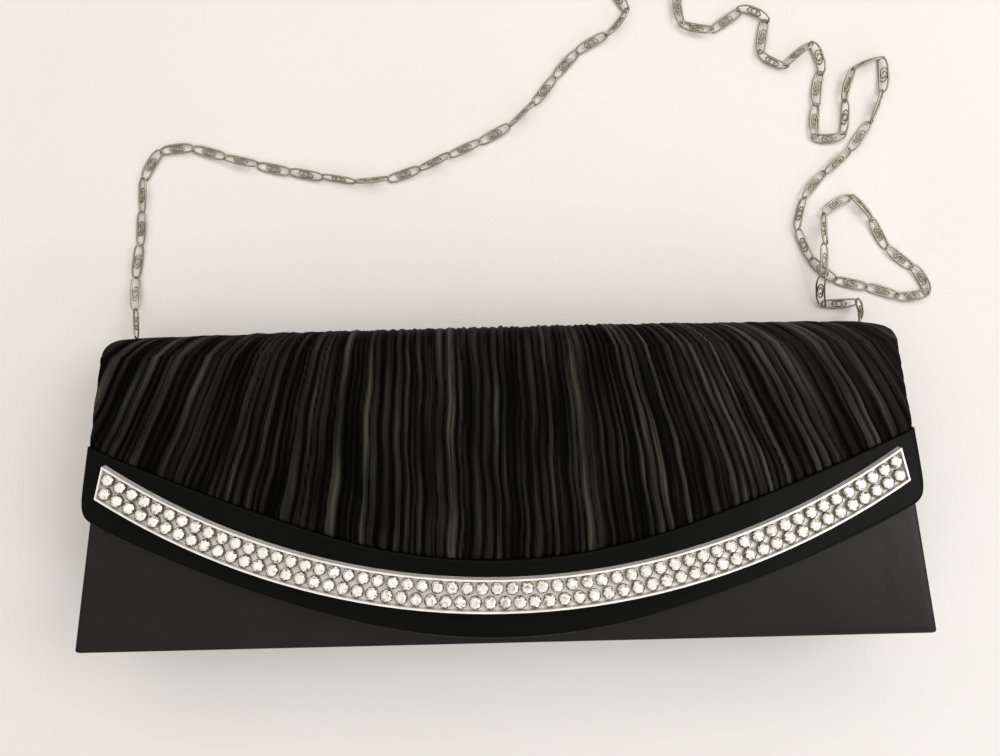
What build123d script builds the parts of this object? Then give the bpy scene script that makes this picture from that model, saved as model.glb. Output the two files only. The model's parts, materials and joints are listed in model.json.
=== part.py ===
"""Evening bag: a stiff satin clutch with a pleated flap, a curved crystal bar and a chain strap.

Units are millimetres. The bag lies on its back on a surface at z = 0. X runs along its width,
+Y points to the mouth and the fold of the flap, -Y to the bottom of the bag, and +Z is up, out of
the front panel. The origin is the centre of the bag's box at the surface it lies on.
"""
import math
import os

from build123d import *

# ---- Case ---------------------------------------------------------------------------------
BOTTOM_WIDTH = 262.4  # outside width at the bottom edge
SIDE_TAPER = 7.5  # each side leans in by this much between the bottom edge and the mouth
OVERALL_HEIGHT = 95.0  # bottom face to the outside of the top strip
BOTTOM_DEPTH = 42.0  # back face to front face at the bottom edge
MOUTH_DEPTH = 23.0  # back face to front face at the mouth
CORNER_RADIUS = 2.5  # bottom corners seen from the front
COVER = 0.6  # satin with its backing
BOARD = 1.6
LINING = 0.5
FRONT_PAD = 1.0  # foam under the front satin, at the sides
FRONT_PAD_EASE = 0.05  # the foam stops this far inside the satin round it
FRONT_CROWN = 2.0  # how far the front panel bulges at its middle
FRONT_CROWN_AT = 35.0  # from the bottom edge to the fullest place

# ---- Top strip ----------------------------------------------------------------------------
STRIP_GAP = 0.4  # between the mouth's edge and the strip's lining
STRIP_BOARD = 1.4
STRIP_PAD = 0.8
STRIP_COVER = 1.0  # pleated satin
STRIP_INSET = 5.7  # each end of the strip, from the mouth's outer corner
STRIP_LOW = 1.0  # above the surface, where the strip starts
ROLL_RADIUS = 8.0  # the pleats roll over the top edge with this radius

# ---- Flap ---------------------------------------------------------------------------------
FLAP_GAP = 0.4  # above the front panel at the sides
FLAP_BOARD = 1.4
FLAP_PAD = 1.0
PLEATS = 1.0
BAND = 0.6
FLAP_CROWN = 7.5  # bulge at the bottom edge; it fades to nothing at the fold
FLAP_INSET = 1.3  # each lower corner, from the case's side at the bottom edge
FLAP_OVERHANG = 1.3  # each end of the fold, past the case's side at the mouth
FLAP_CORNER_RADIUS = 5.0
FLAP_CORNER_Y = 39.5  # lower corners, from the bottom edge
EDGE_LOW_Y = 5.2  # lowest point of the flap's curved edge, from the bottom edge
EDGE_RADIUS = 190.0  # of the edge's middle stretch
EDGE_MIDDLE = 45.0  # half width of that stretch
EDGE_OUTER_RADIUS = 450.0
SEAM_LOW_Y = 26.8  # the seam between the pleats and the plain band
SEAM_RADIUS = 185.0
SEAM_MIDDLE = 55.0
SEAM_OUTER_RADIUS = 800.0

# ---- Crystal bar --------------------------------------------------------------------------
BAR_RADIUS = 238.0  # centre line
BAR_LOW_Y = 17.6  # lowest point of the centre line, from the bottom edge
BAR_WIDTH = 9.2
BAR_END_INSET = 8.6  # middle of each end, from the case's side at the bottom edge
BAR_END_LEAN = 11.0  # degrees that each end leans inwards, seen from above
BAR_HEIGHT = 3.0
BAR_FLOOR = 0.8
BAR_WALL = 0.5
ROW_OFFSET = 1.93  # each row of stones from the middle of the channel's floor
STONE_PITCH = 4.345  # least spacing along a row
ROW_END_GAP = 0.15  # between a row's last cup and the end wall
CUP_RADIUS = 1.95
CUP_HEIGHT = 1.7
STONE_RADIUS = 1.65
STONE_CLEARANCE = 0.04
STUD_RADIUS = 1.0
STUD_PLACES = (-0.86, -0.43, 0.0, 0.43, 0.86)  # shares of the bar's half angle
STUD_CLEARANCE = 0.1
WASHER_RADIUS = 3.0
WASHER = 0.5

# ---- Magnetic snap ------------------------------------------------------------------------
SNAP_Y = 26.5  # from the bottom edge
SNAP_RADIUS = 6.5
SNAP_HEIGHT = 1.7
SNAP_HOLE = 2.6
SNAP_STUD_RADIUS = 2.1
SNAP_STUD_DISC = 0.5
SNAP_STUD_TIP = 1.1  # the stud's end, above the front panel
MAGNET_RADIUS = 5.4
MAGNET = 1.0
SNAP_WASHER_RADIUS = 6.0
SNAP_LIFT = 0.06  # each half stands this far off the curved cloth
LEG_WIDTH = 3.0
LEG_THICKNESS = 0.5
LEG_SPREAD = 3.6  # each leg from the snap's axis
LEG_CLEARANCE = 0.1

# ---- Slip pocket --------------------------------------------------------------------------
POCKET_WIDTH = 120.0
POCKET_HEIGHT = 55.0
POCKET_SLACK = 0.4  # space between the pocket and the lining behind it
POCKET_SEAM = 3.0

# ---- Rings and tabs -----------------------------------------------------------------------
RING_INSET = 4.4  # each ring, from the mouth's outer corner
RING_BEHIND_MOUTH = 0.4  # the ring's straight bar, from the mouth's edge into the bag
RING_Z = 10.0
RING_RADIUS = 3.5  # centre line of the curved part
RING_WIRE = 0.75
TAB_WIDTH = 5.0
TAB_THICKNESS = 0.5
TAB_LENGTH = 11.0
TAB_CLEARANCE = 0.05

# ---- Chain --------------------------------------------------------------------------------
CHAIN = 3.6  # width of the links
ROUTE_RING_X = 119.3  # the routes are written for rings at this distance from the middle
ROUTE_TOP_Y = 47.5  # and for a top strip here; other sizes move and stretch them
COIL_CENTRE = (52.0, 184.0, 0.0)
COIL_RADIUS = 20.0  # middle of its turns
COIL_LAYERS = 2
COIL_SLACK = 0.2
ON_TABLE = CHAIN / 2
OVER = 6.1  # centre line where the chain passes over itself
LEFT_ROUTE = [
    (-120.3, 47.4, 9.5), (-121.8, 53, 6), (-123.4, 59.5, 2.6), (-123, 67, ON_TABLE),
    (-121.4, 76.6, ON_TABLE), (-119.8, 88, ON_TABLE), (-119.2, 98, ON_TABLE),
    (-117.4, 105.5, ON_TABLE), (-112.5, 110.5, ON_TABLE), (-104, 111.6, ON_TABLE),
    (-90, 107, ON_TABLE), (-72, 102.3, ON_TABLE), (-54, 99.2, ON_TABLE),
    (-40, 97.6, ON_TABLE), (-28, 100.8, ON_TABLE), (-14, 106.8, ON_TABLE),
    (1, 112.6, ON_TABLE), (12, 120.5, ON_TABLE), (20, 130, ON_TABLE),
    (26.5, 138.5, ON_TABLE), (35.5, 143.8, ON_TABLE), (44, 147, ON_TABLE),
    (46, 153.5, ON_TABLE), (40, 160.5, ON_TABLE), (33, 169, ON_TABLE), (30.3, 180, ON_TABLE),
]
RIGHT_ROUTE = [
    (73.9, 180, 5.5), (72.6, 171, 4.4), (67.5, 163.5, 2.4), (61.5, 157.8, ON_TABLE),
    (60.8, 150.5, ON_TABLE), (66, 145.2, ON_TABLE), (74.5, 145, ON_TABLE),
    (80.8, 150.2, ON_TABLE), (86.2, 153.4, ON_TABLE), (90.8, 151.8, ON_TABLE),
    (91.6, 146.6, ON_TABLE), (89.4, 140.5, ON_TABLE), (90.2, 134.8, ON_TABLE),
    (94.6, 131.8, ON_TABLE), (99.4, 134, ON_TABLE), (102.4, 139, ON_TABLE),
    (107.5, 140.2, ON_TABLE), (111.6, 136.4, ON_TABLE), (110.2, 130.6, ON_TABLE),
    (107.4, 126, ON_TABLE), (109.5, 120.8, ON_TABLE), (107, 115.6, ON_TABLE),
    (107.6, 109.8, ON_TABLE), (112, 106.2, ON_TABLE), (116.8, 108.8, ON_TABLE),
    (119.2, 114.4, ON_TABLE), (118, 121.5, ON_TABLE), (117.8, 128.5, ON_TABLE),
    (122.6, 133.6, ON_TABLE), (128.4, 136.2, ON_TABLE), (132.8, 132.6, ON_TABLE),
    (131.6, 126.4, ON_TABLE), (129.2, 118.8, ON_TABLE), (125.4, 112, ON_TABLE),
    (119.2, 103.2, ON_TABLE), (109.5, 96.5, ON_TABLE), (103.2, 88.5, ON_TABLE),
    (101.4, 78.5, ON_TABLE), (105.4, 70, ON_TABLE), (112.6, 62, ON_TABLE),
    (121.6, 59.6, ON_TABLE), (132, 57.6, ON_TABLE), (140, 53.8, ON_TABLE),
    (144.6, 54.2, ON_TABLE), (148, 57.8, ON_TABLE), (146.4, 62.4, ON_TABLE),
    (141, 65.4, ON_TABLE), (134.4, 70, ON_TABLE), (129, 77, ON_TABLE),
    (126.4, 85.6, ON_TABLE), (120.6, 90, ON_TABLE), (113.4, 87.8, ON_TABLE),
    (109.6, 80.5, 2.6), (110.4, 72, OVER), (109.8, 62.6, OVER), (107.2, 57, 3.2),
    (110.6, 53, ON_TABLE), (115.8, 52.4, ON_TABLE), (121.6, 54.8, 2.4), (125.2, 50.2, 5.6),
    (120.3, 47.2, 9.2),
]

# ---- Worked out from the sizes above --------------------------------------------------------
MOUTH_WIDTH = BOTTOM_WIDTH - 2 * SIDE_TAPER
FLAP_LOW_WIDTH = BOTTOM_WIDTH - 2 * FLAP_INSET
FLAP_TOP_WIDTH = MOUTH_WIDTH + 2 * FLAP_OVERHANG
STRIP_HALF_WIDTH = MOUTH_WIDTH / 2 - STRIP_INSET
RING_X = MOUTH_WIDTH / 2 - RING_INSET
STRIP_STACK = LINING + STRIP_BOARD + STRIP_PAD + STRIP_COVER
BOTTOM_Y = -OVERALL_HEIGHT / 2
TOP_Y = OVERALL_HEIGHT / 2  # outside of the top strip
MOUTH_Y = TOP_Y - STRIP_STACK - STRIP_GAP
BODY_HEIGHT = MOUTH_Y - BOTTOM_Y
FRONT_SLOPE = (BOTTOM_DEPTH - MOUTH_DEPTH) / BODY_HEIGHT
FLAP_LINING_LOW = FLAP_GAP  # the flap's layers, each measured up from the front panel
FLAP_BOARD_LOW = FLAP_LINING_LOW + LINING
FLAP_PAD_LOW = FLAP_BOARD_LOW + FLAP_BOARD
FLAP_COVER_LOW = FLAP_PAD_LOW + FLAP_PAD
FLAP_COVER_HIGH = FLAP_COVER_LOW + PLEATS
BAND_HIGH = FLAP_COVER_LOW + BAND
SECTION_HALF = max(BOTTOM_WIDTH, FLAP_LOW_WIDTH) / 2 + 2.0  # wider than every outline
TALL = 3 * BOTTOM_DEPTH  # higher than everything
FOLD_Z = BOTTOM_DEPTH - FRONT_SLOPE * OVERALL_HEIGHT + FLAP_COVER_HIGH
BAR_CENTRE = (0.0, BOTTOM_Y + BAR_LOW_Y + BAR_RADIUS)
BAR_HALF_ANGLE = math.degrees(math.asin((BOTTOM_WIDTH / 2 - BAR_END_INSET) / BAR_RADIUS))
FLAP_TOP_Y = TOP_Y - ROLL_RADIUS


def front_height(y):
    """Height of the front panel's outside along its sides."""
    return BOTTOM_DEPTH - FRONT_SLOPE * (y - BOTTOM_Y)


def front_crown(y):
    """Bulge of the front panel's middle at a place between the bottom edge and the mouth."""
    rise = y - BOTTOM_Y
    if rise < FRONT_CROWN_AT:
        return FRONT_CROWN * max(rise, 0) / FRONT_CROWN_AT
    return FRONT_CROWN * max(BODY_HEIGHT - rise, 0) / (BODY_HEIGHT - FRONT_CROWN_AT)


def flap_crown(y):
    """Bulge of the flap's middle, which fades towards the fold."""
    return FLAP_CROWN * (TOP_Y - y) / OVERALL_HEIGHT


def arc_rise(x, crown):
    """Height of a shallow arch of that crown at a place across it."""
    return crown * (1 - (x / SECTION_HALF) ** 2)


def flap_frame(x, y, height):
    """A plane on the flap at that height over the front panel, its normal out of the flap."""
    z = front_height(y) + height + arc_rise(x, flap_crown(y))
    slope_x = -2 * x * flap_crown(y) / SECTION_HALF**2
    slope_y = -FRONT_SLOPE - arc_rise(x, FLAP_CROWN) / OVERALL_HEIGHT
    return Plane(origin=(x, y, z), x_dir=(1, 0, slope_x), z_dir=(-slope_x, -slope_y, 1))


def panel_frame(y):
    """A plane on the middle of the front panel's outside, below its fullest place."""
    slope = FRONT_SLOPE - FRONT_CROWN / FRONT_CROWN_AT
    return Plane(origin=(0, y, front_height(y) + front_crown(y)), x_dir=(1, 0, 0), z_dir=(0, slope, 1))


def board_frame(y):
    """A plane on the middle of the front board's inner face, its normal out of the case."""
    z = front_height(y) - COVER - FRONT_PAD - BOARD
    return Plane(origin=(0, y, z), x_dir=(1, 0, 0), z_dir=(0, FRONT_SLOPE, 1))


# ---- Outlines, seen from above ----------------------------------------------------------------
def half_width(y):
    """Half the case's outside width."""
    share = (y - BOTTOM_Y) / BODY_HEIGHT
    return (BOTTOM_WIDTH + (MOUTH_WIDTH - BOTTOM_WIDTH) * share) / 2


def case_outline(inset, reach=0.0):
    """The case's outline, inset all round, and longer than the case by reach at the mouth."""
    low, high = BOTTOM_Y + inset, MOUTH_Y + reach
    wide, narrow = half_width(low) - inset, half_width(high) - inset
    shape = make_face(Polyline((-wide, low), (wide, low), (narrow, high), (-narrow, high), close=True))
    return fillet(shape.vertices().sort_by(Axis.Y)[:2], max(CORNER_RADIUS - inset, 0.3))


def arch(low_y, radius, middle, outer_radius, half):
    """The edges of a shallow arch: a tighter middle stretch and flatter ends, left to right."""
    turn = math.asin(middle / radius)
    end_turn = math.asin(math.sin(turn) + (half - middle) / outer_radius)
    mid_y = low_y + radius * (1 - math.cos(turn))

    def outer(angle):
        across = outer_radius * (math.sin(angle) - math.sin(turn))
        return middle + across, mid_y + outer_radius * (math.cos(turn) - math.cos(angle))

    halfway, end = outer((turn + end_turn) / 2), outer(end_turn)
    return [
        ThreePointArc((-end[0], end[1]), (-halfway[0], halfway[1]), (-middle, mid_y)),
        ThreePointArc((-middle, mid_y), (0, low_y), (middle, mid_y)),
        ThreePointArc((middle, mid_y), halfway, end),
    ]


def above_arch(edges, half):
    """The area above an arch, up past the top of the bag."""
    left, right = edges[0] @ 0, edges[-1] @ 1
    high = OVERALL_HEIGHT
    corners = [(right.X, right.Y), (half, right.Y), (half, high)]
    corners += [(-half, high), (-half, left.Y), (left.X, left.Y)]
    return make_face(edges + Polyline(corners).edges())


def above_seam():
    past = FLAP_LOW_WIDTH / 2 + 5
    edges = arch(BOTTOM_Y + SEAM_LOW_Y, SEAM_RADIUS, SEAM_MIDDLE, SEAM_OUTER_RADIUS, past)
    return above_arch(edges, past + 1)


def flap_outline(inset=0.0):
    """The whole flap: straight sides, and a curved lower edge with rounded corners."""
    corner = FLAP_LOW_WIDTH / 2
    past = corner + 5  # the curve runs on past the sides, which cut it off
    edges = arch(BOTTOM_Y + EDGE_LOW_Y + inset, EDGE_RADIUS, EDGE_MIDDLE, EDGE_OUTER_RADIUS, past)
    low = BOTTOM_Y + FLAP_CORNER_Y
    lean = (FLAP_LOW_WIDTH - FLAP_TOP_WIDTH) / 2 / (TOP_Y - low)
    wide = corner - inset + lean * (low - BOTTOM_Y)
    narrow = FLAP_TOP_WIDTH / 2 - inset + lean * (TOP_Y - FLAP_TOP_Y)
    sides = make_face(
        Polyline((-wide, BOTTOM_Y), (wide, BOTTOM_Y), (narrow, FLAP_TOP_Y), (-narrow, FLAP_TOP_Y), close=True)
    )
    shape = sides & above_arch(edges, past + 1)
    corners = [v for v in shape.vertices() if v.Y < FLAP_TOP_Y - 1 and abs(v.X) > corner - 10]
    return fillet(corners, max(FLAP_CORNER_RADIUS - inset, 0.5))


def bar_point(radius, turn):
    """A point in the plan on an arc round the bar's centre."""
    return BAR_CENTRE[0] + radius * math.sin(turn), BAR_CENTRE[1] - radius * math.cos(turn)


def end_turn(radius, margin):
    """How far an arc round the bar's centre turns until it is margin away from the bar's end."""
    end_x, end_y = bar_point(BAR_RADIUS, math.radians(BAR_HALF_ANGLE))
    lean = math.radians(BAR_END_LEAN)
    turn = math.radians(BAR_HALF_ANGLE)
    for _ in range(40):
        y = bar_point(radius, turn)[1]
        x = end_x - (y - end_y) * math.tan(lean) - margin / math.cos(lean)
        turn = math.asin(x / radius)
    return turn


def bar_outline(inset=0.0, end_inset=0.0):
    """A stretch of ring round the bar's centre, between its two leaning ends."""
    low = BAR_RADIUS + BAR_WIDTH / 2 - inset
    high = BAR_RADIUS - BAR_WIDTH / 2 + inset
    low_turn, high_turn = end_turn(low, end_inset), end_turn(high, end_inset)
    corners = [bar_point(low, low_turn), bar_point(high, high_turn)]
    corners += [bar_point(high, -high_turn), bar_point(low, -low_turn)]
    edges = [
        ThreePointArc(corners[3], bar_point(low, 0), corners[0]),
        Line(corners[0], corners[1]),
        ThreePointArc(corners[1], bar_point(high, 0), corners[2]),
        Line(corners[2], corners[3]),
    ]
    return make_face(edges)


# ---- Solids ------------------------------------------------------------------------------------
def prism(outline):
    return extrude(outline, TALL)


def section(y, low, high, crown_low, crown_high):
    """An upright band across the bag at y, between two shallow arches."""

    def edge(height, crown):
        left, right = (-SECTION_HALF, height), (SECTION_HALF, height)
        return Line(left, right) if crown < 0.01 else ThreePointArc(left, (0, height + crown), right)

    edges = [
        edge(low, crown_low),
        Line((SECTION_HALF, low), (SECTION_HALF, high)),
        edge(high, crown_high),
        Line((-SECTION_HALF, high), (-SECTION_HALF, low)),
    ]
    return Plane(origin=(0, y, 0), x_dir=(1, 0, 0), z_dir=(0, -1, 0)) * make_face(edges)


def front_layer(outline, low, high, flat_below=False):
    """A layer of the front panel, between two heights over the panel's outside."""
    stations = (BOTTOM_Y, BOTTOM_Y + FRONT_CROWN_AT, MOUTH_Y)
    bands = []
    for y in stations:
        z, crown = front_height(y), front_crown(y)
        bands.append(section(y, z + low, z + high, 0 if flat_below else crown, crown))
    return loft(bands, ruled=True) & prism(outline)


def flat_front_layer(outline, low, high):
    """A flat board or lining of the front panel."""
    ys = (BOTTOM_Y, MOUTH_Y)
    bands = [section(y, front_height(y) + low, front_height(y) + high, 0, 0) for y in ys]
    return loft(bands, ruled=True) & prism(outline)


def flap_layer(outline, low, high):
    """A layer of the flap, between two heights over the front panel."""
    bands = []
    for y in (BOTTOM_Y - 1, TOP_Y - ROLL_RADIUS / 2):
        z, crown = front_height(y), flap_crown(y)
        bands.append(section(y, z + low, z + high, crown, crown))
    return loft(bands, ruled=True) & prism(outline)


def wedge(inset, top):
    """The case's space, inset from its outside, closed at a height top over the front panel."""
    reach = 0.0 if top <= 0 else 5.0
    low, high = BOTTOM_Y + inset, MOUTH_Y + reach
    corners = [(low, inset), (high, inset), (high, front_height(high) + top), (low, front_height(low) + top)]
    profile = make_face(Polyline(corners, close=True))
    block = extrude(Plane.YZ * profile, BOTTOM_WIDTH, both=True)
    return block & prism(case_outline(inset, reach))


def panels(inset, thickness, top):
    """Back, bottom and side panels of one layer, each its own solid."""
    shell = wedge(inset, top) - wedge(inset + thickness, BOTTOM_DEPTH)
    big = 2 * BOTTOM_WIDTH
    inner = inset + thickness
    back = shell & Pos(0, 0, inner - big / 2) * Box(big, big, big)
    upright = shell & Pos(0, 0, inner + big / 2) * Box(big, big, big)
    bottom = upright & Pos(0, BOTTOM_Y + inner - big / 2, 0) * Box(big, big, big)
    sides = upright & Pos(0, BOTTOM_Y + inner + big / 2, 0) * Box(big, big, big)
    left = sides & Pos(-big / 2, 0, 0) * Box(big, big, big)
    right = sides & Pos(big / 2, 0, 0) * Box(big, big, big)
    return {"back": back, "bottom": bottom, "left_gusset": left, "right_gusset": right}


def stud_reach():
    """From the flap's lining to the stud's tip, over the middle of the front panel."""
    y = BOTTOM_Y + SNAP_Y
    return FLAP_LINING_LOW + flap_crown(y) - front_crown(y) - SNAP_STUD_TIP


def stud_frame():
    """A plane on the flap lining's lower face, where the snap's stud stands.

    Its foot is nearer the fold than the socket, so that the leaning stud ends over the hole.
    """
    ahead = stud_reach() * (FRONT_SLOPE + FLAP_CROWN / OVERALL_HEIGHT)
    ahead += SNAP_STUD_TIP * (FRONT_SLOPE - FRONT_CROWN / FRONT_CROWN_AT)
    return flap_frame(0, BOTTOM_Y + SNAP_Y + ahead, FLAP_LINING_LOW)


def snap_legs(plane, low, high, clearance=0.0):
    """The snap's two flat legs along a plane's normal."""
    legs = Part()
    for side in (-1, 1):
        leg = Box(LEG_THICKNESS + 2 * clearance, LEG_WIDTH + 2 * clearance, high - low)
        legs += Pos(side * LEG_SPREAD, 0, (low + high) / 2) * leg
    return plane * legs


def make_case():
    """The case: boards, covers, linings, padding and pocket."""
    board_top = -(COVER + FRONT_PAD + BOARD)
    parts = {}
    for name, solid in panels(0, COVER, -COVER).items():
        parts[name + "_cover"] = solid
    for name, solid in panels(COVER, BOARD, board_top).items():
        parts[name + "_board"] = solid
    for name, solid in panels(COVER + BOARD, LINING, board_top - LINING).items():
        parts[name + "_lining"] = solid
    parts["front_cover"] = front_layer(case_outline(0), -COVER, 0)
    pad_bottom = -(COVER + FRONT_PAD)
    foam = case_outline(COVER + FRONT_PAD_EASE)
    parts["front_padding"] = front_layer(foam, pad_bottom, -COVER, flat_below=True)
    parts["front_board"] = flat_front_layer(case_outline(COVER), board_top, pad_bottom)
    inner = case_outline(COVER + BOARD)
    parts["front_lining"] = flat_front_layer(inner, board_top - LINING, board_top)

    plane = board_frame(BOTTOM_Y + SNAP_Y)
    slots = snap_legs(plane, -0.1, BOTTOM_DEPTH / 2, LEG_CLEARANCE)
    pocket = plane * extrude(Circle(SNAP_WASHER_RADIUS + 0.1), WASHER + 0.1)
    for name in ("front_cover", "front_padding"):
        parts[name] = parts[name] - slots
    parts["front_board"] = parts["front_board"] - slots - pocket
    parts["slip_pocket"] = make_pocket()
    return parts


def make_pocket():
    """A flat patch pocket on the back lining, sewn on three sides."""
    face = COVER + BOARD + LINING
    y = BOTTOM_Y + face + 8 + POCKET_HEIGHT / 2
    depth = POCKET_SLACK + LINING
    block = Pos(0, y, face + depth / 2) * Box(POCKET_WIDTH, POCKET_HEIGHT, depth)
    gap = Box(POCKET_WIDTH - 2 * POCKET_SEAM, POCKET_HEIGHT, POCKET_SLACK)
    return block - Pos(0, y + POCKET_SEAM, face + POCKET_SLACK / 2) * gap


def make_snap():
    """The magnetic snap: socket, magnet and washer on the case, stud and washer on the flap."""
    y = BOTTOM_Y + SNAP_Y
    socket_plane = panel_frame(y) * Pos(0, 0, SNAP_LIFT)
    floor = 0.3
    cap = extrude(Circle(SNAP_RADIUS), SNAP_HEIGHT)
    cap = fillet(cap.edges().group_by(Axis.Z)[-1], 0.5)
    cap -= Pos(0, 0, floor) * extrude(Circle(SNAP_HOLE), SNAP_HEIGHT)
    ring = Pos(0, 0, floor) * extrude(Circle(MAGNET_RADIUS) - Circle(SNAP_HOLE + 0.4), MAGNET)
    cap -= ring
    inner_plane = board_frame(y)
    reach = COVER + FRONT_PAD + BOARD + front_crown(y) + SNAP_LIFT + floor / 2
    legs = snap_legs(inner_plane, 0, reach / math.hypot(1, FRONT_SLOPE))
    washer = inner_plane * extrude(Circle(SNAP_WASHER_RADIUS), WASHER)
    washer -= snap_legs(inner_plane, -1, 1, LEG_CLEARANCE)

    stud_plane = stud_frame()
    low = -SNAP_LIFT - SNAP_STUD_DISC
    disc = Pos(0, 0, low) * extrude(Circle(SNAP_RADIUS - 1), SNAP_STUD_DISC)
    stud = Pos(0, 0, -stud_reach()) * extrude(Circle(SNAP_STUD_RADIUS), stud_reach() + low)
    depth = LINING + FLAP_BOARD
    stud_legs = snap_legs(stud_plane, -2 * SNAP_LIFT, depth)
    top_washer = stud_plane * Pos(0, 0, depth - WASHER) * extrude(Circle(SNAP_WASHER_RADIUS), WASHER)
    top_washer -= snap_legs(stud_plane, 0, depth + 1, LEG_CLEARANCE)
    return {
        "snap_socket": socket_plane * cap + legs,
        "snap_magnet": socket_plane * ring,
        "snap_socket_washer": washer,
        "snap_stud": stud_plane * (disc + stud) + stud_legs,
        "snap_stud_washer": top_washer,
    }


def make_strip():
    """The strip that bridges the mouth between the back panel and the flap."""
    high = FOLD_Z - ROLL_RADIUS

    def layer(outside, thickness):
        y = TOP_Y - outside - thickness / 2
        return Pos(0, y, (STRIP_LOW + high) / 2) * Box(2 * STRIP_HALF_WIDTH, thickness, high - STRIP_LOW)

    return {
        "strip_cover": layer(0, STRIP_COVER),
        "strip_padding": layer(STRIP_COVER, STRIP_PAD),
        "strip_board": layer(STRIP_COVER + STRIP_PAD, STRIP_BOARD),
        "strip_lining": layer(STRIP_COVER + STRIP_PAD + STRIP_BOARD, LINING),
    }


def at_bar(radius, degrees, height):
    """A plane on the flap at a place along the bar's arc."""
    turn = math.radians(degrees)
    x = BAR_CENTRE[0] + radius * math.sin(turn)
    return flap_frame(x, BAR_CENTRE[1] - radius * math.cos(turn), height)


def stud_pins(radius, low, high):
    """Pins through the flap under the bar, cut off at two heights over the front panel."""
    pins = Part()
    for place in STUD_PLACES:
        pins += at_bar(BAR_RADIUS, place * BAR_HALF_ANGLE, 0) * extrude(Circle(radius), 2 * BAND_HIGH)
    return pins & flap_layer(flap_outline(), low, high)


def make_flap():
    """The flap's own layers."""
    outline, whole = flap_outline(COVER), flap_outline()
    pleated, seam_side = whole & above_seam(), whole - above_seam()
    parts = {
        "flap_lining": flap_layer(outline, FLAP_LINING_LOW, FLAP_BOARD_LOW),
        "flap_board": flap_layer(outline, FLAP_BOARD_LOW, FLAP_PAD_LOW),
        "flap_padding": flap_layer(outline, FLAP_PAD_LOW, FLAP_COVER_LOW),
        "flap_pleated_cover": flap_layer(pleated, FLAP_COVER_LOW, FLAP_COVER_HIGH),
        "flap_band": flap_layer(seam_side, FLAP_COVER_LOW, BAND_HIGH),
    }
    holes = stud_pins(STUD_RADIUS + STUD_CLEARANCE, FLAP_LINING_LOW, FLAP_COVER_HIGH)
    for name in ("flap_board", "flap_padding", "flap_band"):
        parts[name] = parts[name] - holes
    wide = WASHER_RADIUS + STUD_CLEARANCE
    parts["flap_board"] = parts["flap_board"] - stud_pins(wide, FLAP_LINING_LOW, FLAP_BOARD_LOW + WASHER)

    plane = stud_frame()
    slots = snap_legs(plane, -1, LINING + FLAP_BOARD + 0.3, LEG_CLEARANCE)
    pocket_low = LINING + FLAP_BOARD - WASHER - 0.1
    pocket = plane * Pos(0, 0, pocket_low) * extrude(Circle(SNAP_WASHER_RADIUS + 0.1), WASHER + 0.35)
    parts["flap_lining"] = parts["flap_lining"] - slots
    parts["flap_board"] = parts["flap_board"] - slots - pocket
    parts["flap_padding"] = parts["flap_padding"] - pocket
    return parts


def make_cup():
    """One round setting, open above, its base on the local origin."""
    shape = Cylinder(CUP_RADIUS, CUP_HEIGHT, align=(Align.CENTER, Align.CENTER, Align.MIN))
    return shape - Pos(0, 0, 0.3) * Cylinder(
        STONE_RADIUS + STONE_CLEARANCE, CUP_HEIGHT, align=(Align.CENTER, Align.CENTER, Align.MIN)
    )


def make_stone():
    """One round stone: a pointed base, a narrow girdle and a flat-topped crown."""
    low, girdle, table = 0.34, 1.35, 2.1
    wide = STONE_RADIUS
    corners = [(0, low), (wide, girdle), (wide, girdle + 0.2), (wide * 0.6, table), (0, table)]
    return revolve(Plane.XZ * make_face(Polyline(corners, close=True)), Axis.Z)


def row(shape, radius):
    """Copies of a shape along one row of the bar, from end to end."""
    height = BAND_HIGH + BAR_FLOOR + 0.02
    reach = end_turn(radius, BAR_WALL + CUP_RADIUS + ROW_END_GAP)
    steps = int(2 * reach * radius / STONE_PITCH)
    places = [math.degrees(reach * (2 * index / steps - 1)) for index in range(steps + 1)]
    return Compound(children=[at_bar(radius, degrees, height) * shape for degrees in places])


def make_bar():
    """The curved bar: a channel, two rows of cups and stones, and its studs and washers."""
    casing = flap_layer(bar_outline(), BAND_HIGH, BAND_HIGH + BAR_HEIGHT)
    casing -= flap_layer(bar_outline(BAR_WALL, BAR_WALL), BAND_HIGH + BAR_FLOOR, BAND_HIGH + 2 * BAR_HEIGHT)
    lean = flap_frame(0, BOTTOM_Y + BAR_LOW_Y, 0).z_dir.Y
    middle = BAR_RADIUS + CUP_HEIGHT * lean / 2  # the cups lean back against the upper wall
    upper, lower = middle - ROW_OFFSET, middle + ROW_OFFSET
    studs = stud_pins(STUD_RADIUS, FLAP_BOARD_LOW, BAND_HIGH)
    washers = stud_pins(WASHER_RADIUS, FLAP_BOARD_LOW, FLAP_BOARD_LOW + WASHER)
    washers -= stud_pins(STUD_RADIUS + STUD_CLEARANCE, FLAP_LINING_LOW, BAND_HIGH)
    return {
        "bar_casing": casing,
        "upper_cups": row(make_cup(), upper),
        "lower_cups": row(make_cup(), lower),
        "upper_crystals": row(make_stone(), upper),
        "lower_crystals": row(make_stone(), lower),
        "bar_studs": studs,
        "bar_washers": washers,
    }


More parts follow.
